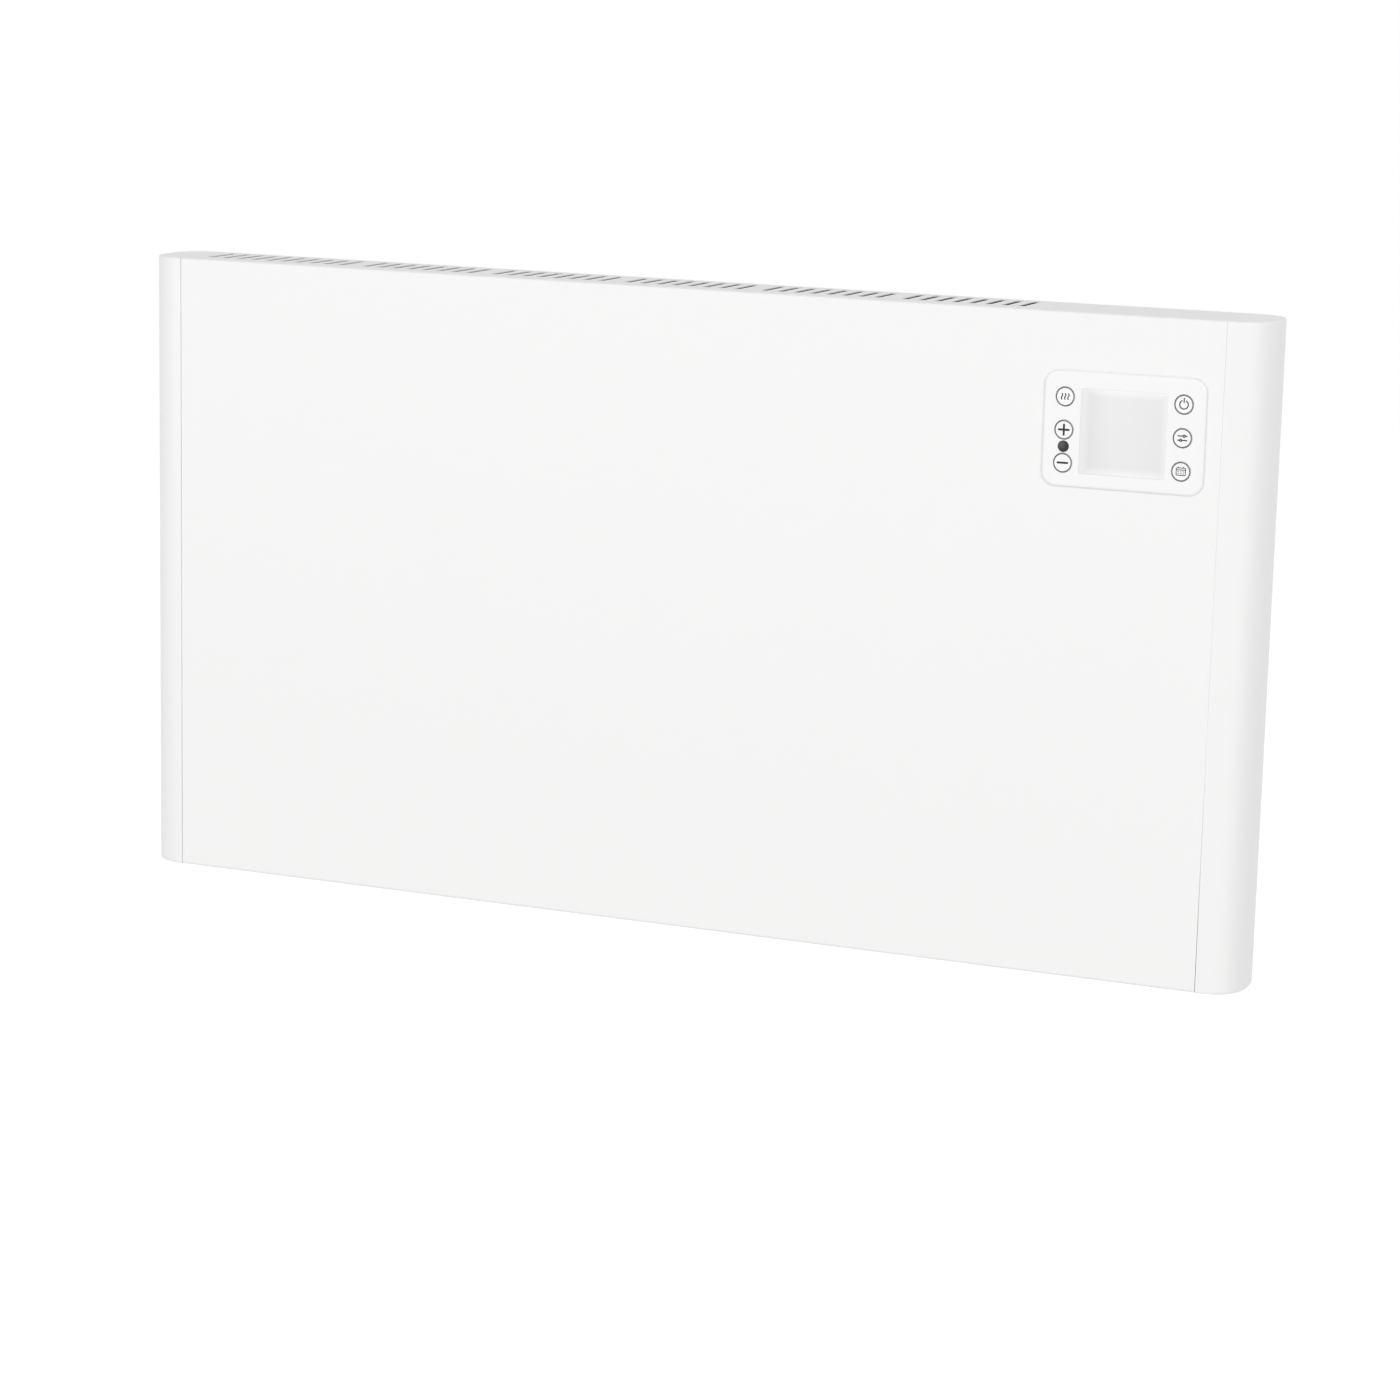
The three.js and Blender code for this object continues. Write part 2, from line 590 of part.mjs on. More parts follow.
// ---------------------------------------------------------------- heating element
// An extrusion with a hollow hub and four wings, each with short cross fins.
function heatingElement() {
  const [from, to] = [leftBracket + BUSH_LENGTH, rightBracket - BUSH_LENGTH];
  const reach = elementSpan * Math.SQRT2 - FIN_THICKNESS;
  const solids = [bar('x', elementY, elementZ, ELEMENT_HUB, from, to)];
  for (let wing = 0; wing < 4; wing += 1) {
    const angle = Math.PI / 4 + (wing * Math.PI) / 2;
    const along = new THREE.Vector2(Math.cos(angle), Math.sin(angle));
    const across = new THREE.Vector2(-along.y, along.x);
    const corner = (u, v) => [
      elementY + u * along.x + v * across.x,
      elementZ + u * along.y + v * across.y,
    ];
    const strip = (u0, u1, v) => outline([corner(u0, -v), corner(u1, -v), corner(u1, v), corner(u0, v)]);
    solids.push(prism(strip(0, reach, FIN_THICKNESS / 2), 'x', from, to));
    for (let fin = 1; fin <= FINS; fin += 1) {
      const u = ELEMENT_HUB + ((reach - ELEMENT_HUB) * fin) / FINS;
      solids.push(prism(strip(u - FIN_THICKNESS, u, FIN_REACH), 'x', from, to));
    }
  }
  return cut(join(...solids), bar('x', elementY, elementZ, ROD_RADIUS + SEAT, from - 1, to + 1));
}

// The sheathed rod through the element, with a terminal pin at each end.
function elementRod() {
  const [from, to] = [leftBracket - ROD_REACH, rightBracket + ROD_REACH];
  return join(
    bar('x', elementY, elementZ, ROD_RADIUS, from, to),
    bar('x', elementY, elementZ, PIN_RADIUS, from - PIN_LENGTH, to + PIN_LENGTH),
  );
}

// A bush on the rod, seated in its bracket at x = at. side points away from the element.
function bush(at, side) {
  const inner = at - side * (BUSH_LENGTH - SEAT);
  const outer = at + side * BUSH_TIP;
  const ring = at - side * SEAT;
  return cut(
    join(
      bar('x', elementY, elementZ, BUSH_RADIUS, inner, outer),
      bar('x', elementY, elementZ, BUSH_RADIUS + BUSH_COLLAR, ring, ring - side * BUSH_COLLAR),
    ),
    bar('x', elementY, elementZ, ROD_RADIUS + SEAT, inner - side, outer + side),
  );
}

// An angle of thin sheet: a foot on the heat shield, and a wall that holds the bush and the lead.
function elementBracket(at, side) {
  const footBack = shieldFront - SEAT;
  const [low, high] = [returnZ - BRACKET_END, elementZ + elementSpan + LEAD_DROP + BRACKET_END];
  const outer = at + side * THIN_SHEET;
  return cut(
    join(
      block(at, outer, insideFront + ELEMENT_AIR, footBack, low, high),
      block(at, at + side * BRACKET_FOOT, footBack - THIN_SHEET, footBack, low, high),
    ),
    bar('x', elementY, elementZ, BUSH_RADIUS + SEAT, at - side, outer + side),
    bar('x', elementY, returnZ, leadHole, at - side, outer + side),
  );
}

// The overheat cut-out: its sensing cup reaches through the bulkhead, its flange is in the box.
function thermalCutout() {
  const z = elementZ + CUTOUT_RISE;
  const seat = bulkhead + THIN_SHEET + SEAT;
  const end = seat + CUTOUT_BODY;
  const half = CUTOUT_BLADE / 2;
  const blade = (y) => block(end - 1, end + CUTOUT_BLADE, y - SEAT, y + SEAT, z - half, z + half);
  return join(
    bar('x', elementY, z, CUTOUT_RADIUS + CUTOUT_FLANGE, seat, seat + CUTOUT_FLANGE),
    bar('x', elementY, z, CUTOUT_BODY, bulkhead - THIN_SHEET, seat + CUTOUT_FLANGE),
    bar('x', elementY, z, CUTOUT_RADIUS, seat, end),
    blade(elementY - CUTOUT_RADIUS / 2),
    blade(elementY + CUTOUT_RADIUS / 2),
  );
}

// The one-shot fuse, held against the right bracket.
function thermalFuse() {
  const x = rightBracket + THIN_SHEET + SEAT + FUSE_RADIUS;
  const z = elementZ + FUSE_RISE;
  return bar('z', x, elementY, FUSE_RADIUS, z - FUSE_LENGTH / 2, z + FUSE_LENGTH / 2);
}

// Where the two leads end, at the side of the terminal block.
const terminalLeft = powerX - TERMINAL_WIDTH / 2 - SEAT;
const terminalY = onPower - TERMINAL_DEPTH / 2;
const terminalZ = powerBottom + TERMINAL_RISE + TERMINAL_HEIGHT / 2;

// The last stretch of a lead, from the bulkhead at height z to the terminal block.
const intoTerminal = (z, end) => [
  [bulkhead + LEAD_THROUGH, elementY, z],
  [bulkhead + LEAD_BEND, elementY, z],
  [terminalLeft - LEAD_BEND, terminalY, end],
  [terminalLeft, terminalY, end],
];

// The lead from the element's right end to the terminal block.
function supplyLead() {
  const start = rightBracket + ROD_REACH + PIN_LENGTH + SEAT;
  const end = terminalZ + TERMINAL_HEIGHT / 4;
  return wire([[start, elementY, elementZ], ...intoTerminal(elementZ, end)], LEAD_RADIUS);
}

// The lead from the element's left end, which runs back under the element through both brackets.
function returnLead() {
  const start = leftBracket - ROD_REACH - PIN_LENGTH - SEAT;
  const turn = start - LEAD_STUB;
  const loop = (elementZ - returnZ) / 2;
  const points = [
    [start, elementY, elementZ],
    [turn, elementY, elementZ],
    [turn - loop, elementY, elementZ - loop],
    [turn, elementY, returnZ],
    [start + LEAD_BEND, elementY, returnZ],
    ...intoTerminal(returnZ, terminalZ - TERMINAL_HEIGHT / 4),
  ];
  return wire(points, LEAD_RADIUS);
}

// ---------------------------------------------------------------- control panel
const keys = [
  ['mode', -1, 1],
  ['plus', -1, 0],
  ['minus', -1, -1],
  ['power', 1, 1],
  ['set', 1, 0],
  ['timer', 1, -1],
].map(([name, side, row]) => ({ name, x: panelX + side * keyColumn, z: keyZ + row * keyPitch }));
const eyeX = panelX - keyColumn;

// The raised plate with a skirt that passes through the front sheet and holds the board.
function controlPanel() {
  const rounded = {
    depth: PANEL_RISE,
    bevelThickness: PANEL_BEVEL_DEPTH,
    bevelSize: PANEL_BEVEL,
    bevelOffset: -PANEL_BEVEL,
    bevelSegments: 2,
  };
  const shape = plate(panelX, panelZ, panelWidth, panelHeight, PANEL_RADIUS, 5);
  const full = new THREE.ExtrudeGeometry(shape, rounded);
  full.applyMatrix4(new THREE.Matrix4().makeBasis(...turns.y));
  full.translate(0, panelFront + PANEL_RISE + PANEL_BEVEL_DEPTH, 0);
  const around = [panelX - panelWidth, panelX + panelWidth];
  const upright = [panelZ - panelHeight, panelZ + panelHeight];
  const face = solidOf(full).intersect(block(...around, panelFront - 1, panelBack, ...upright));
  const skirt = plate(panelX, panelZ, skirtWidth, skirtHeight, skirtRadius);
  const [innerWidth, innerHeight] = [skirtWidth - 2 * SKIRT_WALL, skirtHeight - 2 * SKIRT_WALL];
  const inner = plate(panelX, panelZ, innerWidth, innerHeight, skirtRadius - SKIRT_WALL);
  const windowHole = plate(panelX, keyZ, WINDOW_WIDTH + 2 * SEAT, WINDOW_HEIGHT + 2 * SEAT);
  const [from, to] = [panelFront - 1, panelBack + 1];
  return cut(
    join(face, prism(skirt, 'y', panelBack - PANEL_RISE / 2, skirtBack)),
    prism(inner, 'y', panelBack, skirtBack + 1),
    prism(windowHole, 'y', from, to),
    bar('y', eyeX, eyeZ, eyeRadius + SEAT, from, to),
    ...keys.map(({ x, z }) => bar('y', x, z, keyHole, from, to)),
  );
}

// A push key: a round cap, two tabs behind the panel and a stem into its switch.
function pushKey({ x, z }) {
  const half = KEY_TAB_HEIGHT / 2;
  return join(
    bar('y', x, z, keyRadius, panelFront - KEY_PROUD, tabBack),
    block(x - keyReach, x + keyReach, behindPanel, tabBack, z - half, z + half),
    bar('y', x, z, KEY_STEM, behindPanel, switchFront + SWITCH_DIP),
  );
}

// A small switch on the control board, bored for its key's stem.
function keySwitch({ x, z }) {
  const half = SWITCH_SIDE / 2;
  const floor = switchFront + SWITCH_DIP + KEY_TRAVEL + SEAT;
  return cut(
    block(x - half, x + half, switchFront, boardFront - SEAT, z - half, z + half),
    bar('y', x, z, KEY_STEM + SEAT, switchFront - 1, floor),
  );
}

function controlBoard() {
  const inset = SKIRT_WALL + SEAT;
  const shape = plate(panelX, panelZ, skirtWidth - 2 * inset, skirtHeight - 2 * inset, skirtRadius - inset);
  return prism(shape, 'y', boardFront, boardBack);
}

function displayWindow() {
  const shape = plate(panelX, keyZ, WINDOW_WIDTH, WINDOW_HEIGHT);
  return prism(shape, 'y', panelFront + WINDOW_RECESS, panelBack);
}

function displayModule() {
  const [width, height] = [WINDOW_WIDTH + 2 * DISPLAY_MARGIN, WINDOW_HEIGHT + 2 * DISPLAY_MARGIN];
  const shape = plate(panelX, keyZ, width, height);
  return prism(shape, 'y', behindPanel, boardFront - SEAT);
}

const remoteEye = () => bar('y', eyeX, eyeZ, eyeRadius, panelFront - SEAT / 2, panelBack);

function infraredReceiver() {
  const half = RECEIVER_SIDE / 2;
  return block(eyeX - half, eyeX + half, behindPanel, boardFront - SEAT, eyeZ - half, eyeZ + half);
}

// ---------------------------------------------------------------- electronics box
// A plastic tray on the rear cover, with four bosses for the power board.
function electronicsTray() {
  const [low, high] = [powerBottom - TRAY_RIM / 2, powerTop + TRAY_RIM / 2];
  const sheet = prism(
    plate((trayLeft + trayRight) / 2, (low + high) / 2, trayRight - trayLeft, high - low, BEND),
    'y', trayFront, coverSeat,
  );
  const reach = powerWidth / 2 - 2 * BOSS_RADIUS;
  const bosses = bothSides.flatMap((side) =>
    [powerBottom + 2 * BOSS_RADIUS, powerTop - 2 * BOSS_RADIUS].map((z) =>
      bar('y', powerX + side * reach, z, BOSS_RADIUS, trayFront - TRAY_BOSS, trayFront + TRAY_SHEET / 2)));
  return join(sheet, ...bosses);
}

function powerBoard() {
  const [left, right] = [powerX - powerWidth / 2, powerX + powerWidth / 2];
  return block(left, right, powerFront, powerBack, powerBottom, powerTop);
}

function relay(side) {
  const x = powerX + (side * (RELAY_WIDTH + RELAY_GAP)) / 2;
  const half = RELAY_WIDTH / 2;
  const high = powerTop - RELAY_DROP;
  return block(x - half, x + half, onPower - RELAY_DEPTH, onPower, high - RELAY_HEIGHT, high);
}

const coilX = powerX + COIL_SIDE / 2;
const coilZ = (powerBottom + powerTop) / 2;

function supplyTransformer() {
  const half = COIL_SIDE / 2;
  return block(coilX - half, coilX + half, onPower - COIL_DEPTH, onPower, coilZ - half, coilZ + half);
}

function capacitor() {
  const x = coilX - COIL_SIDE / 2 - COIL_TO_CAPACITOR - CAPACITOR_RADIUS;
  return bar('y', x, coilZ, CAPACITOR_RADIUS, onPower - CAPACITOR_DEPTH, onPower);
}

function terminalBlock() {
  const [halfX, halfZ] = [TERMINAL_WIDTH / 2, TERMINAL_HEIGHT / 2];
  const face = onPower - TERMINAL_DEPTH;
  const screws = [-1, 0, 1].map((k) => {
    const x = powerX + (k * TERMINAL_WIDTH) / 3;
    return bar('y', x, terminalZ, TERMINAL_HOLE, face - 1, face + TERMINAL_DEPTH / 2);
  });
  const body = block(powerX - halfX, powerX + halfX, face, onPower, terminalZ - halfZ, terminalZ + halfZ);
  return cut(body, ...screws);
}

// The flat cable from the back of the control board down to the power board.
function ribbonCable() {
  const h = RIBBON_THICKNESS / 2;
  const [start, end] = [boardBack + SEAT, onPower];
  const middle = (skirtBack + powerFront) / 2;
  const high = panelZ - skirtHeight / 2 + SKIRT_WALL + RIBBON_INSET;
  const low = powerTop - RIBBON_DROP;
  const tight = RIBBON_BEND - RIBBON_THICKNESS;
  const profile = outline([
    [start, high - h],
    [middle - h, high - h, tight],
    [middle - h, low - h, RIBBON_BEND],
    [end, low - h],
    [end, low + h],
    [middle + h, low + h, tight],
    [middle + h, high + h, RIBBON_BEND],
    [start, high + h],
  ], 4);
  return prism(profile, 'x', panelX - RIBBON_WIDTH / 2, panelX + RIBBON_WIDTH / 2);
}

// The room temperature sensor, on the casing's floor over the box's air slots.
function roomSensor() {
  const x = bulkhead + SENSOR_INSET;
  const half = SENSOR_WIDTH / 2;
  const foot = bottom + SHEET + SEAT;
  return join(
    block(x - half, x + half, slotMiddle - half, slotMiddle + half, foot, foot + SENSOR_FOOT),
    bar('z', x, slotMiddle, SENSOR_RADIUS, foot, foot + SENSOR_HEIGHT),
  );
}

// ---------------------------------------------------------------- back of the heater
// The inlet for the mains cord: a bored bush with a collar on each side of the rear cover.
function cordGland() {
  const collar = glandBody + GLAND_COLLAR;
  return turned([
    [GLAND_BORE, coverSeat - GLAND_COLLAR],
    [collar, coverSeat - GLAND_COLLAR],
    [collar, coverSeat],
    [glandBody, coverSeat],
    [glandBody, back + SEAT],
    [collar, back + SEAT],
    [collar, back + SEAT + GLAND_COLLAR],
    [glandBody, back + GLAND_PROUD],
    [GLAND_BORE, back + GLAND_PROUD],
    [GLAND_BORE, coverSeat - GLAND_COLLAR],
  ], glandX, glandZ);
}

// A foot on the rear cover that keeps the body parallel to the wall.
function wallSpacer(side) {
  const profile = [[0, back + SEAT], [SPACER_RADIUS, back + SEAT], [SPACER_TIP, 0], [0, 0]];
  return turned(profile, side * (seam - SPACER_INSET), bottom + SPACER_RISE);
}

// A plate on the wall with an ear at each end. Each ear has two hooks that reach through the rear cover.
function wallBracket() {
  const half = BRACKET_WIDTH / 2;
  const end = HOOK_RISE + BRACKET_EAR_END;
  const corners = [[0, -end], [earFront, -end]];
  bothSides.forEach((level) => {
    const seat = level * HOOK_RISE;
    corners.push([earFront, seat - HOOK_NECK]);
    corners.push([coverSeat - HOOK_FINGER, seat - HOOK_NECK]);
    corners.push([coverSeat - HOOK_FINGER, seat + HOOK_CATCH]);
    corners.push([coverSeat, seat + HOOK_CATCH]);
    corners.push([coverSeat, seat]);
    corners.push([earFront, seat]);
  });
  corners.push([earFront, end], [0, end]);
  const ear = outline(corners);
  const ears = bothSides.map((side) => prism(ear, 'x', side * half, side * (half - BRACKET_SHEET)));
  const sheet = block(-half, half, -BRACKET_SHEET, 0, -BRACKET_PLATE / 2, BRACKET_PLATE / 2);
  const holes = bothSides.flatMap((side) => bothSides.map((level) => {
    const [x, z] = [side * BRACKET_HOLE_X, level * BRACKET_HOLE_Z];
    return prism(slotShape(x, z, BRACKET_HOLE_WIDTH, BRACKET_HOLE_HEIGHT), 'y', -BRACKET_SHEET - 1, 1);
  }));
  return cut(join(sheet, ...ears), ...holes);
}

// ---------------------------------------------------------------- assembly
piece('front_casing', frontCasing(), whitePaint);
piece('top_grille', topGrille(), whitePaint);
piece('top_cover_rail', coverRail(1), whitePaint);
piece('bottom_cover_rail', coverRail(-1), whitePaint);
piece('rear_cover', rearCover(), whitePaint);
piece('left_end_cap', endCap(-1), whitePlastic);
piece('right_end_cap', endCap(1), whitePlastic);
piece('box_bulkhead', boxBulkhead(), galvanised);
piece('heat_shield', heatShield(), galvanised);

piece('heating_element', heatingElement(), aluminium);
piece('element_rod', elementRod(), steel);
piece('left_bush', bush(leftBracket, -1), ceramic);
piece('right_bush', bush(rightBracket, 1), ceramic);
piece('left_element_bracket', elementBracket(leftBracket, -1), galvanised);
piece('right_element_bracket', elementBracket(rightBracket, 1), galvanised);
piece('thermal_cutout', thermalCutout(), blackPlastic);
piece('thermal_fuse', thermalFuse(), steel);
piece('supply_lead', supplyLead(), redSilicone);
piece('return_lead', returnLead(), blueSilicone);

piece('control_panel', controlPanel(), whitePlastic);
piece('display_window', displayWindow(), displayGrey);
piece('display_module', displayModule(), blackPlastic);
piece('remote_eye', remoteEye(), blackGloss);
piece('infrared_receiver', infraredReceiver(), blackPlastic);
piece('control_board', controlBoard(), boardGreen);
keys.forEach((key) => {
  piece(`${key.name}_key`, pushKey(key), keyPlastic);
  piece(`${key.name}_switch`, keySwitch(key), blackPlastic);
});

piece('electronics_tray', electronicsTray(), blackPlastic);
piece('power_board', powerBoard(), boardGreen);
piece('left_relay', relay(-1), relayBlue);
piece('right_relay', relay(1), relayBlue);
piece('supply_transformer', supplyTransformer(), blackPlastic);
piece('capacitor', capacitor(), blackPlastic);
piece('terminal_block', terminalBlock(), ceramic);
piece('ribbon_cable', ribbonCable(), ribbonGrey);
piece('room_sensor', roomSensor(), whitePlastic);

piece('cord_gland', cordGland(), darkRubber);
piece('left_wall_spacer', wallSpacer(-1), darkRubber);
piece('right_wall_spacer', wallSpacer(1), darkRubber);
piece('wall_bracket', wallBracket(), galvanised);
coverScrews.forEach((place, i) => piece(`cover_screw_${i + 1}`, screw(place), steel));
capScrews.forEach((place, i) => piece(`cap_screw_${i + 1}`, screw(place), steel));

export default heater;
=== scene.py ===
"""Wall panel convector heater: its visible surfaces, finishes, light and camera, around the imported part.

Shapes are worked out in millimetres in the part's own frame: +X to the right, +Y into the wall,
+Z up, with the wall as the plane y = 0. A mesh is scaled to metres as it is made.
"""

import logging
import math
from collections.abc import Callable
from dataclasses import dataclass
from enum import Enum

import bmesh
import bpy
import numpy as np
from mathutils import Matrix, Vector
from mathutils.geometry import tessellate_polygon


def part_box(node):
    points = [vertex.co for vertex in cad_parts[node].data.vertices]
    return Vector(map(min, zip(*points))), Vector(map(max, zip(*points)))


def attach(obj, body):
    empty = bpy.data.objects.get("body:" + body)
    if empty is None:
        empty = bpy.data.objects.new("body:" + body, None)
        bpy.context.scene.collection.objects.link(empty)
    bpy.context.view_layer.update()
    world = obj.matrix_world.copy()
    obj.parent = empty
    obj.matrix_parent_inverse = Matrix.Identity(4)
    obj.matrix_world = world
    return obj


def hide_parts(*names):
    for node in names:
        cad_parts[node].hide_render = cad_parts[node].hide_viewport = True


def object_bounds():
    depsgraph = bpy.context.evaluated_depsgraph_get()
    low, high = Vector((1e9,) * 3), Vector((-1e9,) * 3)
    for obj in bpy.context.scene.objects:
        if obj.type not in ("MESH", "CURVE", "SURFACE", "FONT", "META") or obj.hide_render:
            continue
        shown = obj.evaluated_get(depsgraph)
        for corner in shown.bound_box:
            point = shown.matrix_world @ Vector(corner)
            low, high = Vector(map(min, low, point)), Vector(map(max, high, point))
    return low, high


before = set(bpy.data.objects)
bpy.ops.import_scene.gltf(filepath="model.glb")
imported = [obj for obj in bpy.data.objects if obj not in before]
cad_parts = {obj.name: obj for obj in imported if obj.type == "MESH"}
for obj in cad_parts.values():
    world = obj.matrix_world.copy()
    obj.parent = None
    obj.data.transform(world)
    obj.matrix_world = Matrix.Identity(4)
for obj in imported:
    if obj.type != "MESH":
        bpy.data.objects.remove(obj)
CAD_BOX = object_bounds()

logging.basicConfig(level=logging.INFO, format="%(message)s")
log = logging.getLogger("heater")

MM = 0.001
HEATER = "heater"
BRACKET = "bracket"


# ---------------------------------------------------------------- places read from the frame
@dataclass(frozen=True)
class Span:
    """The box of a node at rest, in millimetres."""

    low: np.ndarray
    high: np.ndarray

    @classmethod
    def of(cls, node: str) -> "Span":
        """Reads the box of a CAD node."""
        low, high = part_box(node)
        return cls(np.array(low) / MM, np.array(high) / MM)

    @property
    def middle(self) -> np.ndarray:
        """The centre of the box."""
        return (self.low + self.high) / 2

    @property
    def size(self) -> np.ndarray:
        """The sides of the box."""
        return self.high - self.low


CASING = Span.of("front_casing")
COVER = Span.of("rear_cover")
PANEL = Span.of("control_panel")
TOP = CASING.high[2]
BOTTOM = CASING.low[2]
FRONT = CASING.low[1]
BACK = COVER.high[1]
SEAM = CASING.high[0]
SKIN = 0.7  # depth below the outer skin past which a face is an inner one
INSIDE_SHADE = 0.14  # painted shade: how bright the casing's inner faces are beside the coat
SEAT = 0.3  # gap between two pieces that touch
WELD = 2e-6  # metres within which points become one
SLIVER = 1e-6  # metres below which an edge is dissolved


# ---------------------------------------------------------------- outlines and surfaces
Place = Callable[[np.ndarray], np.ndarray]


def quarter(steps: int) -> np.ndarray:
    """Returns the angles from zero to a right angle, in equal steps."""
    return np.linspace(0, math.pi / 2, steps + 1)


def cells(index: np.ndarray) -> np.ndarray:
    """Returns the four corners of each cell in a grid of point numbers."""
    return np.stack([index[:-1, :-1], index[:-1, 1:], index[1:, 1:], index[1:, :-1]], axis=-1).reshape(-1, 4)


@dataclass(frozen=True)
class Opening:
    """A rectangle with round corners about (u, v). It is a circle or a slot where the corners meet."""

    u: float
    v: float
    width: float
    height: float
    radius: float
    steps: int = 6

    def loop(self, grow: float = 0.0) -> np.ndarray:
        """Four quarter arcs joined by straight sides, anticlockwise, moved outwards by grow.

        Args:
            grow: distance outwards, or inwards where it is negative.

        Returns:
            The points, one row each.
        """
        angles = np.arange(4)[:, None] * math.pi / 2 + quarter(self.steps)
        signs = np.array([[1, 1], [-1, 1], [-1, -1], [1, -1]])
        centres = signs * (np.array([self.width, self.height]) / 2 - self.radius)
        arcs = np.stack([np.cos(angles), np.sin(angles)], axis=-1)
        plain = (centres[:, None] + self.radius * arcs).reshape(-1, 2)
        apart = np.linalg.norm(plain - np.roll(plain, 1, axis=0), axis=1) > 1e-6
        grown = (centres[:, None] + (self.radius + grow) * arcs).reshape(-1, 2)
        return grown[apart] + np.array([self.u, self.v])


def disc(u: float, v: float, radius: float, steps: int = 12) -> Opening:
    """A round opening about (u, v)."""
    return Opening(u, v, 2 * radius, 2 * radius, radius, steps)


def on_x(x: float) -> Place:
    """Returns the map that lays (u, v) on the upright plane at x, with u along Y and v along Z."""
    return lambda flat: np.insert(flat, 0, x, axis=-1)


def on_y(y: float) -> Place:
    """Returns the map that lays (u, v) on the upright plane at y, with u along X and v along Z."""
    return lambda flat: np.insert(flat, 1, y, axis=-1)


def on_z(z: float) -> Place:
    """Returns the map that lays (u, v) on the level plane at z, with u along X and v along Y."""
    return lambda flat: np.insert(flat, 2, z, axis=-1)


class Surface:
    """Patches of faces that are welded into one mesh."""

    def __init__(self) -> None:
        """Starts with no patch."""
        self.points: list[np.ndarray] = []
        self.faces: list[list[int]] = []
        self.count = 0

    def add(self, points: np.ndarray, faces: np.ndarray) -> None:
        """Adds points, of any grid shape, and faces that count from the first of them.

        Args:
            points: places in millimetres.
            faces: one row of point numbers for each face.
        """
        self.points.append(points.reshape(-1, 3))
        self.faces.extend((faces + self.count).tolist())
        self.count += points.reshape(-1, 3).shape[0]

    def grid(self, rows: np.ndarray, closed: bool = False) -> None:
        """Joins neighbouring points of a grid into quads.

        Args:
            rows: an array of rows by columns by 3.
            closed: whether the last column joins the first.
        """
        height, width = rows.shape[:2]
        index = np.arange(height * width).reshape(height, width)
        if closed:
            index = np.concatenate([index, index[:, :1]], axis=1)
        self.add(rows, cells(index))

    def lathe(self, profile: np.ndarray, x: float, z: float, steps: int = 48) -> None:
        """Turns a profile about the line along Y through (x, z).

        Args:
            profile: rows of radius and y.
            x: place of the line.
            z: place of the line.
            steps: columns in a full turn.
        """
        angles = np.linspace(0, 2 * math.pi, steps, endpoint=False)
        radius, y = profile[:, :1], profile[:, 1:]
        rows = np.stack([
            x + radius * np.cos(angles),
            np.broadcast_to(y, (len(profile), steps)),
            z + radius * np.sin(angles),
        ], axis=-1)
        self.grid(rows, closed=True)

    def block(self, low: np.ndarray, high: np.ndarray) -> None:
        """Adds a box between two opposite corners."""
        ends = np.array([low, high], float)
        corner = np.array([[i, j, k] for i in (0, 1) for j in (0, 1) for k in (0, 1)])
        points = np.take_along_axis(ends, corner, axis=0)
        self.add(points, np.array([
            [0, 1, 3, 2], [4, 6, 7, 5], [0, 4, 5, 1], [2, 3, 7, 6], [0, 2, 6, 4], [1, 5, 7, 3],
        ]))

    def pierced(self, outer: np.ndarray, openings: list[Opening], margin: float, place: Place) -> None:
        """Fills a flat outline around its openings. Each opening gets a ring of quads, so that its
        rim can be rounded evenly.

        Args:
            outer: the outline's points in (u, v), anticlockwise.
            openings: what is left open inside it.
            margin: width of the ring around each opening.
            place: lays (u, v) in space.
        """
        loops = [outer] + [opening.loop(margin) for opening in openings]
        flat = np.vstack(loops)
        filled = tessellate_polygon([[Vector((*point, 0)) for point in loop] for loop in loops])
        triangles = np.array(filled)
        a, b, c = (flat[triangles[:, k]] for k in range(3))
        turn = np.cross(b - a, c - a)
        triangles[turn < 0] = triangles[turn < 0][:, ::-1]
        self.add(place(flat), triangles[np.abs(turn) > 1e-9])
        for opening in openings:
            self.grid(place(np.stack([opening.loop(margin), opening.loop()])), closed=True)

    def build(self, name: str) -> bpy.types.Object:
        """Welds the patches into an object in metres, and turns its normals the same way out.

        Args:
            name: the object's name.

        Returns:
            The new object, with its place in its mesh.
        """
        mesh = bpy.data.meshes.new(name)
        mesh.from_pydata(np.vstack(self.points) * MM, [], self.faces)
        cleaned = bmesh.new()
        cleaned.from_mesh(mesh)
        bmesh.ops.remove_doubles(cleaned, verts=cleaned.verts, dist=WELD)
        bmesh.ops.dissolve_degenerate(cleaned, edges=cleaned.edges, dist=SLIVER)
        bmesh.ops.recalc_face_normals(cleaned, faces=cleaned.faces)
        cleaned.to_mesh(mesh)
        cleaned.free()
        mesh.polygons.foreach_set("use_smooth", np.ones(len(mesh.polygons), bool))
        piece = bpy.data.objects.new(name, mesh)
        bpy.context.scene.collection.objects.link(piece)
        return piece


def thicken(piece: bpy.types.Object, thickness: float) -> None:
    """Gives a sheet its thickness, away from the side its faces point to."""
    wall = piece.modifiers.new("thickness", "SOLIDIFY")
    wall.thickness = thickness * MM
    wall.offset = -1
    wall.use_even_offset = True


def soften(piece: bpy.types.Object, width: float, segments: int = 2, angle: float = 40) -> None:
    """Rounds the sharp edges, and lets large faces set the normals beside them.

    Args:
        piece: what is rounded.
        width: width of the round, in millimetres.
        segments: faces across the round.
        angle: least turn of an edge that is rounded, in degrees.
    """
    edge = piece.modifiers.new("edges", "BEVEL")
    edge.width = width * MM
    edge.segments = segments
    edge.limit_method = "ANGLE"
    edge.angle_limit = math.radians(angle)
    edge.use_clamp_overlap = True
    normals = piece.modifiers.new("normals", "WEIGHTED_NORMAL")
    normals.keep_sharp = False


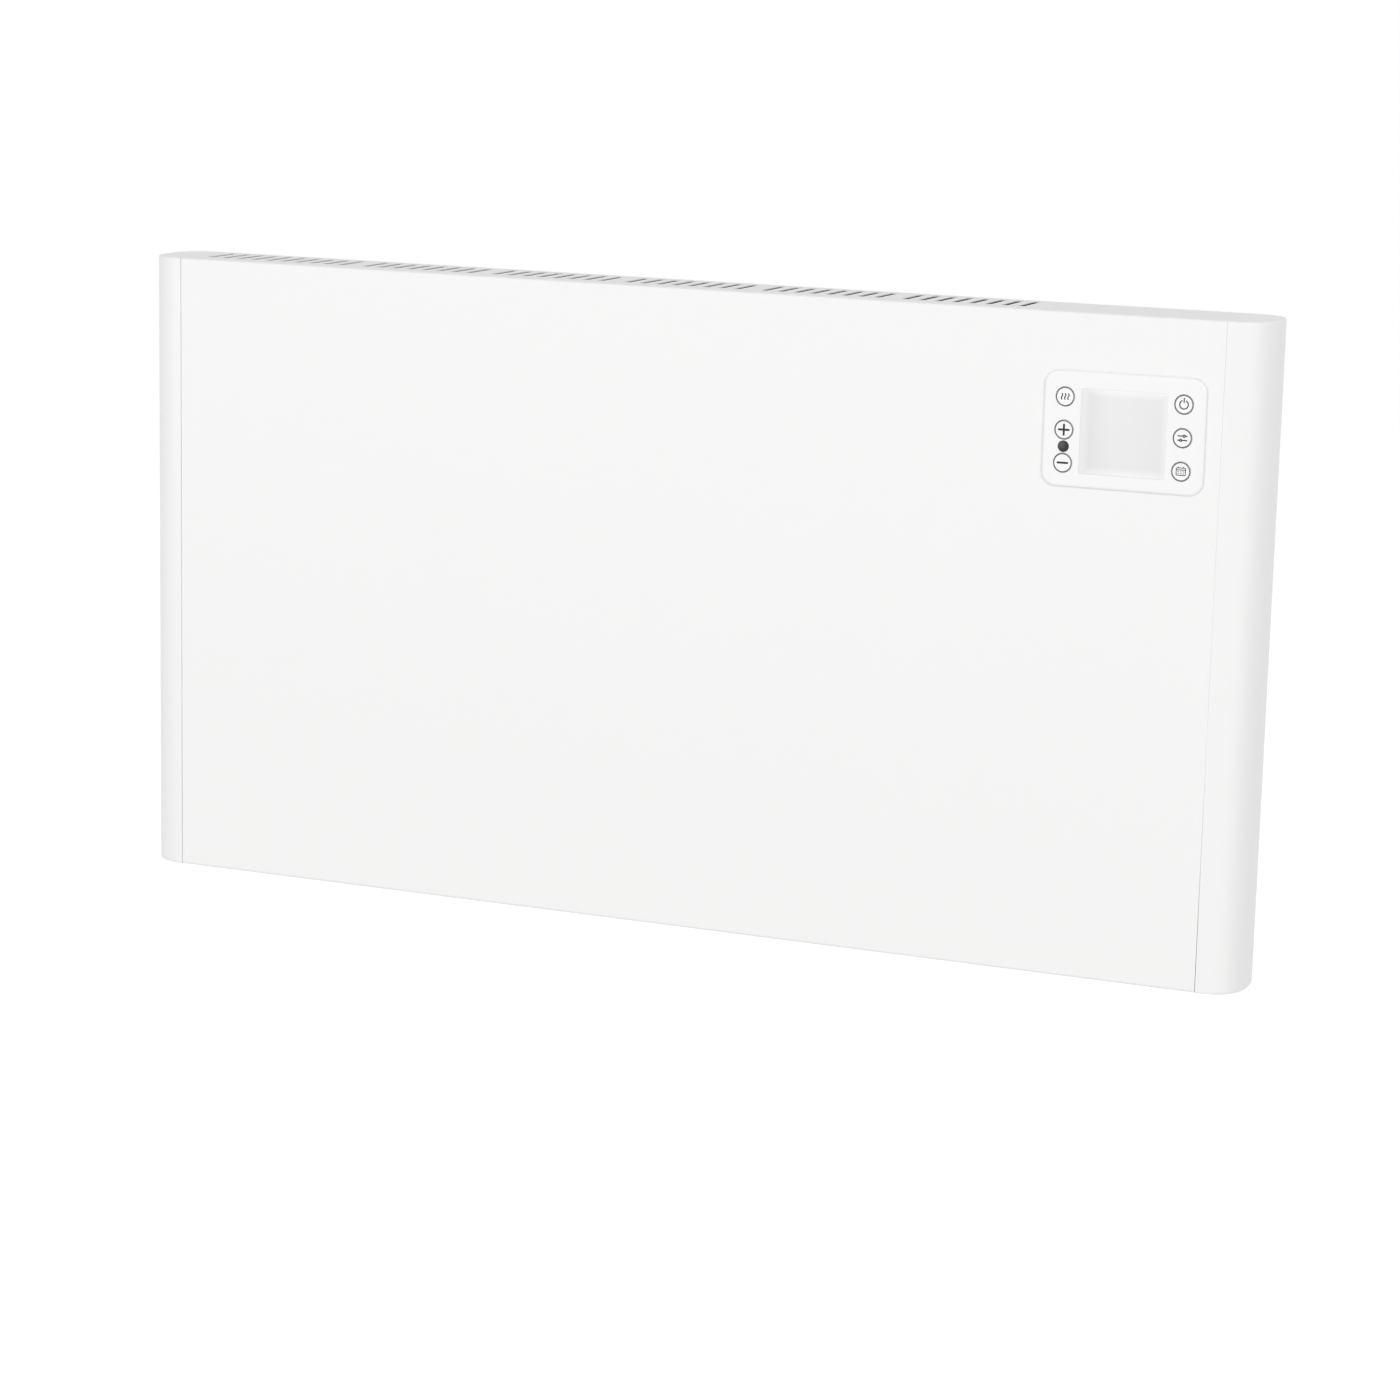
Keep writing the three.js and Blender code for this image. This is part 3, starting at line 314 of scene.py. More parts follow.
def sheet_metal(piece: bpy.types.Object, outward: int, thickness: float, edge: float) -> None:
    """Makes a sheet of a surface: its largest face looks outwards, and the metal lies behind it.

    Args:
        piece: the surface.
        outward: 1 where its outer side faces the wall, -1 where it faces the room.
        thickness: of the sheet.
        edge: width of the round along its edges.
    """
    largest = max(piece.data.polygons, key=lambda face: face.area)
    if largest.normal.y * outward < 0:
        piece.data.flip_normals()
    thicken(piece, thickness)
    soften(piece, edge)


# ---------------------------------------------------------------- finishes
class Slot(Enum):
    """Material slots of the record."""

    WHITE_PAINT = "white_paint"
    WHITE_PLASTIC = "white_plastic"
    KEY_PLASTIC = "key_plastic"
    DISPLAY = "display_window"
    BLACK_GLOSS = "black_gloss"
    BLACK_PLASTIC = "black_plastic"
    GALVANISED = "galvanised"
    ALUMINIUM = "fin_aluminium"
    STEEL = "steel"
    CERAMIC = "ceramic"
    BOARD = "board_green"
    RELAY = "relay_blue"
    RIBBON = "ribbon_grey"
    RED_LEAD = "red_lead"
    BLUE_LEAD = "blue_lead"
    RUBBER = "dark_rubber"


class Pattern(Enum):
    """What a finish's surface is made of."""

    GRAIN = "grain"
    COAT_INNER_SHADE = "coat_inner_shade"
    ROLLED = "rolled"
    SPANGLE = "spangle"
    TRACKS = "tracks"
    CORES = "cores"


def linear(colour: tuple[float, float, float]) -> tuple[float, float, float, float]:
    """Turns a colour as it is seen, 0 to 1, into the light values that a shader takes."""
    seen = np.array(colour)
    light = np.where(seen <= 0.04045, seen / 12.92, ((seen + 0.055) / 1.055) ** 2.4)
    return (*light.tolist(), 1.0)


class Nodes:
    """Adds and joins nodes in one tree."""

    def __init__(self, tree: bpy.types.NodeTree) -> None:
        """Works in the given tree."""
        self.tree = tree

    def add(self, kind: str, settings: dict | None = None, **inputs: object) -> bpy.types.Node:
        """Adds a node.

        Args:
            kind: the node's class, without its ShaderNode prefix.
            settings: the node's own properties.
            inputs: a value or another node's output for each socket, by its name with _ for a space.

        Returns:
            The node.
        """
        prefix = "" if kind.startswith("NodeGroup") else "ShaderNode"
        node = self.tree.nodes.new(prefix + kind)
        for key, value in (settings or {}).items():
            setattr(node, key, value)
        for key, value in inputs.items():
            self.feed(node.inputs[key.replace("_", " ")], value)
        return node

    def feed(self, socket: bpy.types.NodeSocket, value: object) -> None:
        """Sets a socket, or links it where the value is an output."""
        if isinstance(value, bpy.types.NodeSocket):
            self.tree.links.new(value, socket)
        else:
            socket.default_value = value

    def math(self, operation: str, first: object, second: object = 0.0) -> bpy.types.NodeSocket:
        """Adds a sum of two values and returns its output."""
        node = self.tree.nodes.new("ShaderNodeMath")
        node.operation = operation
        self.feed(node.inputs[0], first)
        self.feed(node.inputs[1], second)
        return node.outputs[0]

    def shade(self, colour: object, amount: object) -> bpy.types.NodeSocket:
        """Multiplies a colour by a value and returns the result."""
        node = self.tree.nodes.new("ShaderNodeVectorMath")
        node.operation = "SCALE"
        self.feed(node.inputs[0], colour)
        self.feed(node.inputs["Scale"], amount)
        return node.outputs[0]

    def noise(self, vector: object, scale: object, detail: float = 2.0) -> bpy.types.NodeSocket:
        """Adds a noise texture and returns its value, about 0.5 on average."""
        node = self.add("TexNoise", Scale=scale, Detail=detail, Roughness=0.5)
        self.feed(node.inputs["Vector"], vector)
        return node.outputs["Fac"]

    def place(self) -> bpy.types.NodeSocket:
        """Returns the point's place in the object, in metres."""
        return self.add("TexCoord").outputs["Object"]


def emptied(owner: bpy.types.Material | bpy.types.World) -> Nodes:
    """Clears the nodes of a material or a world and returns its tree."""
    owner.use_nodes = True
    owner.node_tree.nodes.clear()
    return Nodes(owner.node_tree)


def new_group(name: str) -> tuple[Nodes, bpy.types.Node, bpy.types.Node]:
    """Makes an empty surface group: colour, roughness, size and mottle in; colour, roughness and height out.

    Args:
        name: the group's name.

    Returns:
        Its nodes, its input node and its output node.
    """
    tree = bpy.data.node_groups.new(name, "ShaderNodeTree")
    for way, labels in (("INPUT", ("Color", "Roughness", "Size", "Mottle")),
                        ("OUTPUT", ("Color", "Roughness", "Height"))):
        for label in labels:
            kind = "NodeSocketColor" if label == "Color" else "NodeSocketFloat"
            tree.interface.new_socket(label, in_out=way, socket_type=kind)
    nodes = Nodes(tree)
    return nodes, nodes.add("NodeGroupInput"), nodes.add("NodeGroupOutput")


def finish_group(nodes: Nodes, source: bpy.types.Node, sink: bpy.types.Node, shade: object,
                 rough: object, height: object) -> None:
    """Joins a group's results to its outputs.

    Args:
        nodes: the group's nodes.
        source: its input node.
        sink: its output node.
        shade: value about 0.5 that lightens and darkens the colour.
        rough: value about 0.5 that varies the roughness.
        height: relief, 0 to 1.
    """
    swing = nodes.math("MULTIPLY", nodes.math("SUBTRACT", shade, 0.5), source.outputs["Mottle"])
    lift = nodes.math("ADD", 1.0, swing)
    nodes.feed(sink.inputs["Color"], nodes.shade(source.outputs["Color"], lift))
    part = nodes.math("ADD", 0.85, nodes.math("MULTIPLY", rough, 0.3))
    nodes.feed(sink.inputs["Roughness"], nodes.math("MULTIPLY", source.outputs["Roughness"], part))
    nodes.feed(sink.inputs["Height"], height)


def per_metre(nodes: Nodes, size: object, share: float = 1.0) -> bpy.types.NodeSocket:
    """Returns the texture scale of a feature of so many millimetres, times share."""
    return nodes.math("DIVIDE", share / MM, size)


def grain_group() -> bpy.types.NodeTree:
    """Powder coat and moulded plastic: a shallow orange peel under a finer stipple."""
    nodes, source, sink = new_group("grain")
    place = nodes.place()
    size = source.outputs["Size"]
    peel = nodes.noise(place, per_metre(nodes, size), 1.0)
    stipple = nodes.noise(place, per_metre(nodes, size, 3.5), 2.0)
    cloud = nodes.noise(place, 7.0, 3.0)
    height = nodes.math("ADD", nodes.math("MULTIPLY", peel, 0.65), nodes.math("MULTIPLY", stipple, 0.35))
    finish_group(nodes, source, sink, cloud, stipple, height)
    return nodes.tree


def coat_inner_shade_group() -> bpy.types.NodeTree:
    """Powder coat over folded sheet: the coat's peel outside, and painted shade, a darker colour, on what
    faces the inside.
    """
    nodes, source, sink = new_group("coat_inner_shade")
    place = nodes.place()
    peel = nodes.noise(place, per_metre(nodes, source.outputs["Size"]), 2.0)
    cloud = nodes.noise(place, 7.0, 3.0)
    parts = nodes.add("SeparateXYZ", Vector=place).outputs
    behind = nodes.math("GREATER_THAN", parts[1], (FRONT + SKIN) * MM)
    before = nodes.math("LESS_THAN", parts[1], (BACK - SKIN) * MM)
    between = nodes.math("LESS_THAN", nodes.math("ABSOLUTE", parts[2]), (TOP - SKIN) * MM)
    inside = nodes.math("MULTIPLY", nodes.math("MULTIPLY", behind, before), between)
    finish_group(nodes, source, sink, cloud, peel, peel)
    coated = sink.inputs["Color"].links[0].from_socket
    # Painted shade: faces inside the casing, seen through the slots, are darkened to a small share of the
    # coat's colour.
    dimmed = nodes.math("SUBTRACT", 1.0, nodes.math("MULTIPLY", inside, 1 - INSIDE_SHADE))
    nodes.feed(sink.inputs["Color"], nodes.shade(coated, dimmed))
    return nodes.tree


def rolled_group() -> bpy.types.NodeTree:
    """Drawn or extruded metal: fine lines along X."""
    nodes, source, sink = new_group("rolled")
    place = nodes.place()
    drawn = nodes.add("Mapping", Vector=place, Scale=(0.03, 1.0, 1.0)).outputs[0]
    lines = nodes.noise(drawn, per_metre(nodes, source.outputs["Size"]), 4.0)
    cloud = nodes.noise(place, 30.0, 2.0)
    finish_group(nodes, source, sink, lines, cloud, lines)
    return nodes.tree


def spangle_group() -> bpy.types.NodeTree:
    """Zinc coating: flat crystals that differ in brightness, with a fine tooth."""
    nodes, source, sink = new_group("spangle")
    place = nodes.place()
    size = source.outputs["Size"]
    bent = nodes.add("VectorMath", {"operation": "ADD"})
    wobble = nodes.add("TexNoise", Vector=place, Scale=260.0, Detail=1.0)
    nodes.feed(bent.inputs[0], place)
    nodes.feed(bent.inputs[1], nodes.shade(wobble.outputs["Color"], 0.004))
    cells = nodes.add("TexVoronoi", Vector=bent.outputs[0], Scale=per_metre(nodes, size))
    level = nodes.add("SeparateColor", Color=cells.outputs["Color"]).outputs[0]
    tooth = nodes.noise(place, per_metre(nodes, size, 12.0), 2.0)
    finish_group(nodes, source, sink, level, level, tooth)
    return nodes.tree


def tracks_group() -> bpy.types.NodeTree:
    """Circuit board: copper tracks that show through the solder mask, and a faint weave."""
    nodes, source, sink = new_group("tracks")
    place = nodes.place()
    turned = nodes.add("Mapping", Vector=place, Rotation=(math.pi / 2, 0, 0)).outputs[0]
    bricks = nodes.add("TexBrick", Vector=turned, Scale=per_metre(nodes, source.outputs["Size"]),
                       Mortar_Size=0.02, Bias=0.0)
    gap = bricks.outputs["Fac"]
    weave = nodes.noise(place, 2200.0, 1.0)
    level = nodes.math("ADD", 0.35, nodes.math("MULTIPLY", gap, 0.9))
    relief = nodes.math("ADD", gap, nodes.math("MULTIPLY", weave, 0.1))
    finish_group(nodes, source, sink, level, weave, relief)
    return nodes.tree


def cores_group() -> bpy.types.NodeTree:
    """Flat cable: round cores side by side along X, lighter on their tops and darker in the grooves between
    them: painted highlight and painted shade.
    """
    nodes, source, sink = new_group("cores")
    place = nodes.place()
    across = nodes.add("SeparateXYZ", Vector=place).outputs[0]
    turns = nodes.math("MULTIPLY", across, per_metre(nodes, source.outputs["Size"], math.pi))
    round_top = nodes.math("ABSOLUTE", nodes.math("SINE", turns))
    # Painted highlight and shade: the colour follows the cores' round tops, darker in the grooves.
    finish_group(nodes, source, sink, round_top, round_top, round_top)
    return nodes.tree


GROUP_MAKERS = {
    Pattern.GRAIN: grain_group,
    Pattern.COAT_INNER_SHADE: coat_inner_shade_group,
    Pattern.ROLLED: rolled_group,
    Pattern.SPANGLE: spangle_group,
    Pattern.TRACKS: tracks_group,
    Pattern.CORES: cores_group,
}


COAT_ROUGHNESS = 0.05


@dataclass(frozen=True)
class Finish:
    """One finish. The colour is as it is seen, size and relief are in millimetres."""

    slot: Slot
    colour: tuple[float, float, float]
    roughness: float
    pattern: Pattern = Pattern.GRAIN
    size: float = 1.0
    relief: float = 0.01
    mottle: float = 0.03
    metallic: float = 0.0
    coat: float = 0.0

    def material(self, groups: dict[Pattern, bpy.types.NodeTree], name: str) -> bpy.types.Material:
        """Makes the finish's material.

        Args:
            groups: the shared groups.
            name: the material's name.

        Returns:
            The material.
        """
        material = bpy.data.materials.new(name)
        nodes = emptied(material)
        surface = nodes.add("Group", {"node_tree": groups[self.pattern]}, Color=linear(self.colour),
                            Roughness=self.roughness, Size=self.size, Mottle=self.mottle)
        bump = nodes.add("Bump", Height=surface.outputs["Height"], Strength=1.0, Distance=self.relief * MM)
        shader = nodes.add("BsdfPrincipled", Base_Color=surface.outputs["Color"],
                           Roughness=surface.outputs["Roughness"], Normal=bump.outputs[0])
        shader.inputs["Metallic"].default_value = self.metallic
        shader.inputs["Coat Weight"].default_value = self.coat
        shader.inputs["Coat Roughness"].default_value = COAT_ROUGHNESS
        nodes.add("OutputMaterial", Surface=shader.outputs[0])
        return material


@dataclass(frozen=True)
class DisplayFilm:
    """The display's film: grey that fades to the panel's white along its edges, with the smooth step
    s * s * (3 - 2 * s), where s is the distance from the nearest edge as a share of the fade's width.
    """

    slot: Slot = Slot.DISPLAY
    rim: tuple[float, float, float] = (0.96, 0.96, 0.958)
    middle: tuple[float, float, float] = (0.915, 0.915, 0.914)
    fade: float = 6.5
    # Painted light: moves the fade's middle to the right along X, so the film's left edge is paler.
    painted_light_shift: float = 1.5
    mottle: float = 0.01
    cloud_scale: float = 60.0
    roughness: float = 0.36
    roughness_swing: float = 0.06

    def material(self, groups: dict[Pattern, bpy.types.NodeTree], name: str) -> bpy.types.Material:
        """Makes the film's material.

        Args:
            groups: the shared groups, which the film needs none of.
            name: the material's name.

        Returns:
            The material.
        """
        window = Span.of("display_window")
        material = bpy.data.materials.new(name)
        nodes = emptied(material)
        place = nodes.add("SeparateXYZ", Vector=nodes.place())
        inside = []
        # Painted light: along X the fade's middle is moved right, making the left edge paler.
        for axis, painted_light_shift in ((0, self.painted_light_shift), (2, 0.0)):
            middle = (window.middle[axis] + painted_light_shift) * MM
            off = nodes.math("ABSOLUTE", nodes.math("SUBTRACT", place.outputs[axis], middle))
            depth = nodes.math("SUBTRACT", window.size[axis] / 2 * MM, off)
            inside.append(nodes.math("DIVIDE", depth, self.fade * MM))
        share = nodes.add("Math", {"operation": "MINIMUM", "use_clamp": True})
        nodes.feed(share.inputs[0], inside[0])
        nodes.feed(share.inputs[1], inside[1])
        bent = nodes.math("SUBTRACT", 3.0, nodes.math("MULTIPLY", 2.0, share.outputs[0]))
        square = nodes.math("MULTIPLY", share.outputs[0], share.outputs[0])
        grey = nodes.add("Mix", {"data_type": "RGBA"})
        nodes.feed(grey.inputs["Factor"], nodes.math("MULTIPLY", square, bent))
        nodes.feed(grey.inputs[6], linear(self.rim))
        nodes.feed(grey.inputs[7], linear(self.middle))
        cloud = nodes.noise(nodes.place(), self.cloud_scale, 2.0)
        level = nodes.math("ADD", 1 - self.mottle / 2, nodes.math("MULTIPLY", cloud, self.mottle))
        rough = nodes.math("ADD", self.roughness, nodes.math("MULTIPLY", cloud, self.roughness_swing))
        shader = nodes.add("BsdfPrincipled", Base_Color=nodes.shade(grey.outputs[2], level), Roughness=rough)
        nodes.add("OutputMaterial", Surface=shader.outputs[0])
        return material


WHITE = (0.955, 0.955, 0.953)
FINISHES = {
    # The casing's coat; its faces inside the casing get painted shade.
    "casing_paint": Finish(Slot.WHITE_PAINT, WHITE, 0.42, Pattern.COAT_INNER_SHADE,
                           size=1.4, relief=0.008, mottle=0.006),
    "cap_plastic": Finish(Slot.WHITE_PLASTIC, (0.953, 0.953, 0.951), 0.38,
                          size=0.7, relief=0.005, mottle=0.006),
    "panel_plastic": Finish(Slot.WHITE_PLASTIC, (0.958, 0.958, 0.957), 0.34,
                            size=0.5, relief=0.003, mottle=0.004),
    "key_plastic": Finish(Slot.KEY_PLASTIC, (0.965, 0.965, 0.963), 0.3,
                          size=0.4, relief=0.002, mottle=0.004),
    "grey_ink": Finish(Slot.KEY_PLASTIC, (0.4, 0.4, 0.405), 0.5, size=0.3, relief=0.004, mottle=0.08),
    "dark_ink": Finish(Slot.KEY_PLASTIC, (0.07, 0.07, 0.075), 0.5, size=0.3, relief=0.004, mottle=0.08),
    "eye_gloss": Finish(Slot.BLACK_GLOSS, (0.035, 0.035, 0.04), 0.16, size=1.2, relief=0.001),
    "black_plastic": Finish(Slot.BLACK_PLASTIC, (0.12, 0.12, 0.13), 0.5, size=0.5, relief=0.01, mottle=0.2),
    "galvanised": Finish(Slot.GALVANISED, (0.76, 0.77, 0.78), 0.38, Pattern.SPANGLE, 9, 0.004, 0.18, 1.0),
    "aluminium": Finish(Slot.ALUMINIUM, (0.8, 0.805, 0.81), 0.34, Pattern.ROLLED, 0.5, 0.01, 0.16, 1.0),
    "steel": Finish(Slot.STEEL, (0.72, 0.725, 0.73), 0.3, Pattern.ROLLED, 0.3, 0.004, 0.12, 1.0),
    "ceramic": Finish(Slot.CERAMIC, (0.9, 0.87, 0.81), 0.62, size=0.6, relief=0.02, mottle=0.08),
    "board": Finish(Slot.BOARD, (0.12, 0.36, 0.22), 0.32, Pattern.TRACKS, 6, 0.03, 0.5, 0.0, 0.3),
    "relay": Finish(Slot.RELAY, (0.17, 0.33, 0.55), 0.3, size=0.8, relief=0.004, mottle=0.06),
    "ribbon": Finish(Slot.RIBBON, (0.7, 0.71, 0.73), 0.5, Pattern.CORES, 1.27, 0.25, 0.25),
    "red_sleeve": Finish(Slot.RED_LEAD, (0.66, 0.16, 0.12), 0.5, size=0.8, relief=0.01, mottle=0.08),
    "blue_sleeve": Finish(Slot.BLUE_LEAD, (0.14, 0.31, 0.56), 0.5, size=0.8, relief=0.01, mottle=0.08),
    "rubber": Finish(Slot.RUBBER, (0.19, 0.195, 0.2), 0.78, size=0.6, relief=0.03, mottle=0.25),
    "display_film": DisplayFilm(),
}

CARRIED_OVER = {
    "galvanised": ["box_bulkhead", "heat_shield", "left_element_bracket", "right_element_bracket"],
    "aluminium": ["heating_element"],
    "steel": ["element_rod", "thermal_fuse"],
    "ceramic": ["left_bush", "right_bush", "terminal_block"],
    "black_plastic": ["thermal_cutout", "display_module", "infrared_receiver", "electronics_tray",
                      "supply_transformer", "capacitor"],
    "red_sleeve": ["supply_lead"],
    "blue_sleeve": ["return_lead"],
    "board": ["control_board", "power_board"],
    "relay": ["left_relay", "right_relay"],
    "ribbon": ["ribbon_cable"],
    "cap_plastic": ["room_sensor"],
}


class Workshop:
    """Holds the materials, and finishes each piece."""

    def __init__(self) -> None:
        """Makes the shared groups and every material."""
        groups = {pattern: maker() for pattern, maker in GROUP_MAKERS.items()}
        self.materials = {name: finish.material(groups, name) for name, finish in FINISHES.items()}

    def dress(self, piece: bpy.types.Object, finish: str) -> None:
        """Gives an object one material in place of what it has."""
        piece.data.materials.clear()
        piece.data.materials.append(self.materials[finish])

    def fit(self, piece: bpy.types.Object, finish: str, body: str, *nodes: str) -> None:
        """Finishes a new piece: its material, the body that it rides on and the nodes that it stands for.

        Args:
            piece: the new object.
            finish: a key of FINISHES.
            body: the CAD body that carries it.
            nodes: the CAD nodes that it replaces.
        """
        self.dress(piece, finish)
        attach(piece, body)
        if nodes:
            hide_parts(*nodes)
        log.info("%s: %s on %s", piece.name, finish, body)

    def dress_frame(self) -> None:
        """Gives every CAD node that stays its finish."""
        switches = [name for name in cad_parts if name.endswith("_switch")]
        for finish, names in CARRIED_OVER.items():
            for name in names + (switches if finish == "black_plastic" else []):
                self.dress(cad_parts[name], finish)
        log.info("%d nodes of the frame dressed", len(switches) + sum(map(len, CARRIED_OVER.values())))


# ---------------------------------------------------------------- casing
@dataclass
class Casing:
    """The folded sheet of front, top and bottom with its air slots, the two strips behind it and the
    rear cover.
    """

    sheet: float = 1.0
    cover_sheet: float = 0.8
    bend: float = 2.0
    bend_steps: int = 10
    margin: float = 1.1
    border: float = 1.8
    slot_width: float = 5.0
    slot_length: float = 40.0
    slot_setback: float = 17.5
    slot_pitch: float = 12.0
    slot_start: float = 14.0
    first_group: int = 10
    group: int = 8
    group_step: float = 20.5
    slot_clearance: float = 9.0
    box_slots: int = 4
    box_slot_inset: float = 28.0
    rear_slot_height: float = 18.0
    rear_slot_rise: float = 18.0
    rear_group_x: float = 110.0
    slit_half: float = 2.0
    slit_rise: float = 100.3
    slit_height: float = 36.0
    slit_radius: float = 0.6
    screw_hole: float = 1.9
    gland_hole: float = 7.7
    rail_radius: float = 1.0
    cover_margin: float = 0.8
    cover_border: float = 0.9
    shell_edge: float = 0.14
    rail_edge: float = 0.2
    cover_edge: float = 0.18

    def slot_centres(self) -> list[float]:
        """Returns the slots' centres along X: one long group, then equal groups up to the bulkhead."""
        limit = Span.of("box_bulkhead").low[0] - self.slot_clearance
        centres: list[float] = []
        start, count = -SEAM + self.slot_start, self.first_group
        while start + (count - 1) * self.slot_pitch <= limit:
            centres += [start + k * self.slot_pitch for k in range(count)]
            start += (count - 1) * self.slot_pitch + self.group_step
            count = self.group
        return centres

    def air_slot(self, x: float) -> Opening:
        """Returns one slot of the top or bottom, drawn in (x, y)."""
        y = FRONT + self.slot_setback + self.slot_length / 2
        return Opening(x, y, self.slot_width, self.slot_length, self.slot_width / 2, 6)

    def columns(self) -> np.ndarray:
        """Returns the places along X at which every flat face and bend has an edge."""
        return np.array([-SEAM, -SEAM + self.border, SEAM - self.border, SEAM])

    def flat(self, surface: Surface, low: float, high: float, openings: list[Opening], place: Place) -> None:
        """Adds a flat face of the sheet: a border of quads around a filled middle.

        Args:
            surface: takes the faces.
            low: where the face starts across the sheet.
            high: where it ends.
            openings: what is cut out of it.
            place: lays (u, v) in space.
        """
        u = self.columns()
        v = np.array([low, low + self.border, high - self.border, high])
        points = np.stack(np.meshgrid(u, v), axis=-1)
        index = np.arange(16).reshape(4, 4)
        surface.add(place(points), np.delete(cells(index), 4, axis=0))
        middle = points[[1, 1, 2, 2], [1, 2, 2, 1]]
        surface.pierced(middle, openings, self.margin, place)

    def fold(self, surface: Surface, y: float, z: float, start: float) -> None:
        """Adds a bend: a quarter of a cylinder along X about (y, z), from angle start in degrees."""
        angles = np.radians(np.linspace(start, start + 90, self.bend_steps + 1))[:, None]
        x = np.broadcast_to(self.columns(), (self.bend_steps + 1, 4))
        across = y + self.bend * np.cos(angles) + 0 * x
        upright = z + self.bend * np.sin(angles) + 0 * x
        surface.grid(np.stack([x, across, upright], axis=-1))

    def shell(self) -> bpy.types.Object:
        """Builds the front sheet: front, top and bottom, joined by round bends."""
        surface = Surface()
        rear = CASING.high[1]
        near = FRONT + self.bend
        upper, lower = TOP - self.bend, BOTTOM + self.bend
        slots = [self.air_slot(x) for x in self.slot_centres()]
        box_start = Span.of("box_bulkhead").low[0] + self.box_slot_inset
        box_slots = [self.air_slot(box_start + k * self.slot_pitch) for k in range(self.box_slots)]
        board = Span.of("control_board")
        clear = board.size[[0, 2]] + 2 * (ControlPanel.skirt_wall + 2 * ControlPanel.gap)
        behind = Opening(board.middle[0], board.middle[2], clear[0], clear[1], ControlPanel.skirt_radius)

        self.flat(surface, near, rear, slots, on_z(TOP))
        self.flat(surface, near, rear, slots + box_slots, on_z(BOTTOM))
        self.flat(surface, lower, upper, [behind], on_y(FRONT))
        self.fold(surface, near, upper, 90)
        self.fold(surface, near, lower, 180)
        return surface.build("casing_shell")

    def rail(self, node: str) -> bpy.types.Object:
        """Builds a strip behind the rear cover, with a hole for each screw."""
        span = Span.of(node)
        x, _, z = span.middle
        outline = Opening(x, z, span.size[0], span.size[2], self.rail_radius, 3).loop()
        screws = [Span.of(name).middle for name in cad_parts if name.startswith("cover_screw_")]
        near = [screw for screw in screws if abs(screw[2] - z) < span.size[2]]
        holes = [disc(screw[0], screw[2], self.screw_hole, 4) for screw in near]
        surface = Surface()
        surface.pierced(outline, holes, self.cover_margin, on_y(span.high[1]))
        return surface.build(f"{node}_strip")

    def cover(self) -> bpy.types.Object:
        """Builds the rear cover: a flat sheet with air inlets, slits for the hooks and round holes."""
        surface = Surface()
        outline = Opening(0, 0, COVER.size[0], COVER.size[2], self.bend, 4)
        gland = Span.of("cord_gland")
        ear = Span.of("wall_bracket").high[0] - WallBracket.sheet / 2
        openings = [disc(gland.middle[0], gland.middle[2], self.gland_hole)]
        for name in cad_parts:
            if "_screw_" in name:
                x, _, z = Span.of(name).middle
                openings.append(disc(x, z, self.screw_hole, 4))
        for side in (-1, 1):
            for end in (-1, 1):
                high = end * (self.slit_rise - SEAT) + SEAT
                openings.append(Opening(side * ear, high - self.slit_height / 2, 2 * self.slit_half,
                                        self.slit_height, self.slit_radius, 2))
            first = side * self.rear_group_x - (self.group - 1) / 2 * self.slot_pitch
            for k in range(self.group):
                z = BOTTOM + self.rear_slot_rise + self.rear_slot_height / 2
                openings.append(Opening(first + k * self.slot_pitch, z, self.slot_width,
                                        self.rear_slot_height, self.slot_width / 2, 5))
        place = on_y(BACK)
        middle = outline.loop(-self.cover_border)
        surface.grid(place(np.stack([outline.loop(), middle])), closed=True)
        surface.pierced(middle, openings, self.cover_margin, place)
        return surface.build("rear_panel")

    def make(self, shop: Workshop) -> None:
        """Builds and fits the sheets."""
        shell = self.shell()
        sheet_metal(shell, -1, self.sheet, self.shell_edge)
        shop.fit(shell, "casing_paint", HEATER, "front_casing", "top_grille")
        for node in ("top_cover_rail", "bottom_cover_rail"):
            strip = self.rail(node)
            sheet_metal(strip, 1, self.sheet, self.rail_edge)
            shop.fit(strip, "casing_paint", HEATER, node)
        cover = self.cover()
        sheet_metal(cover, 1, self.cover_sheet, self.cover_edge)
        shop.fit(cover, "casing_paint", HEATER, "rear_cover")


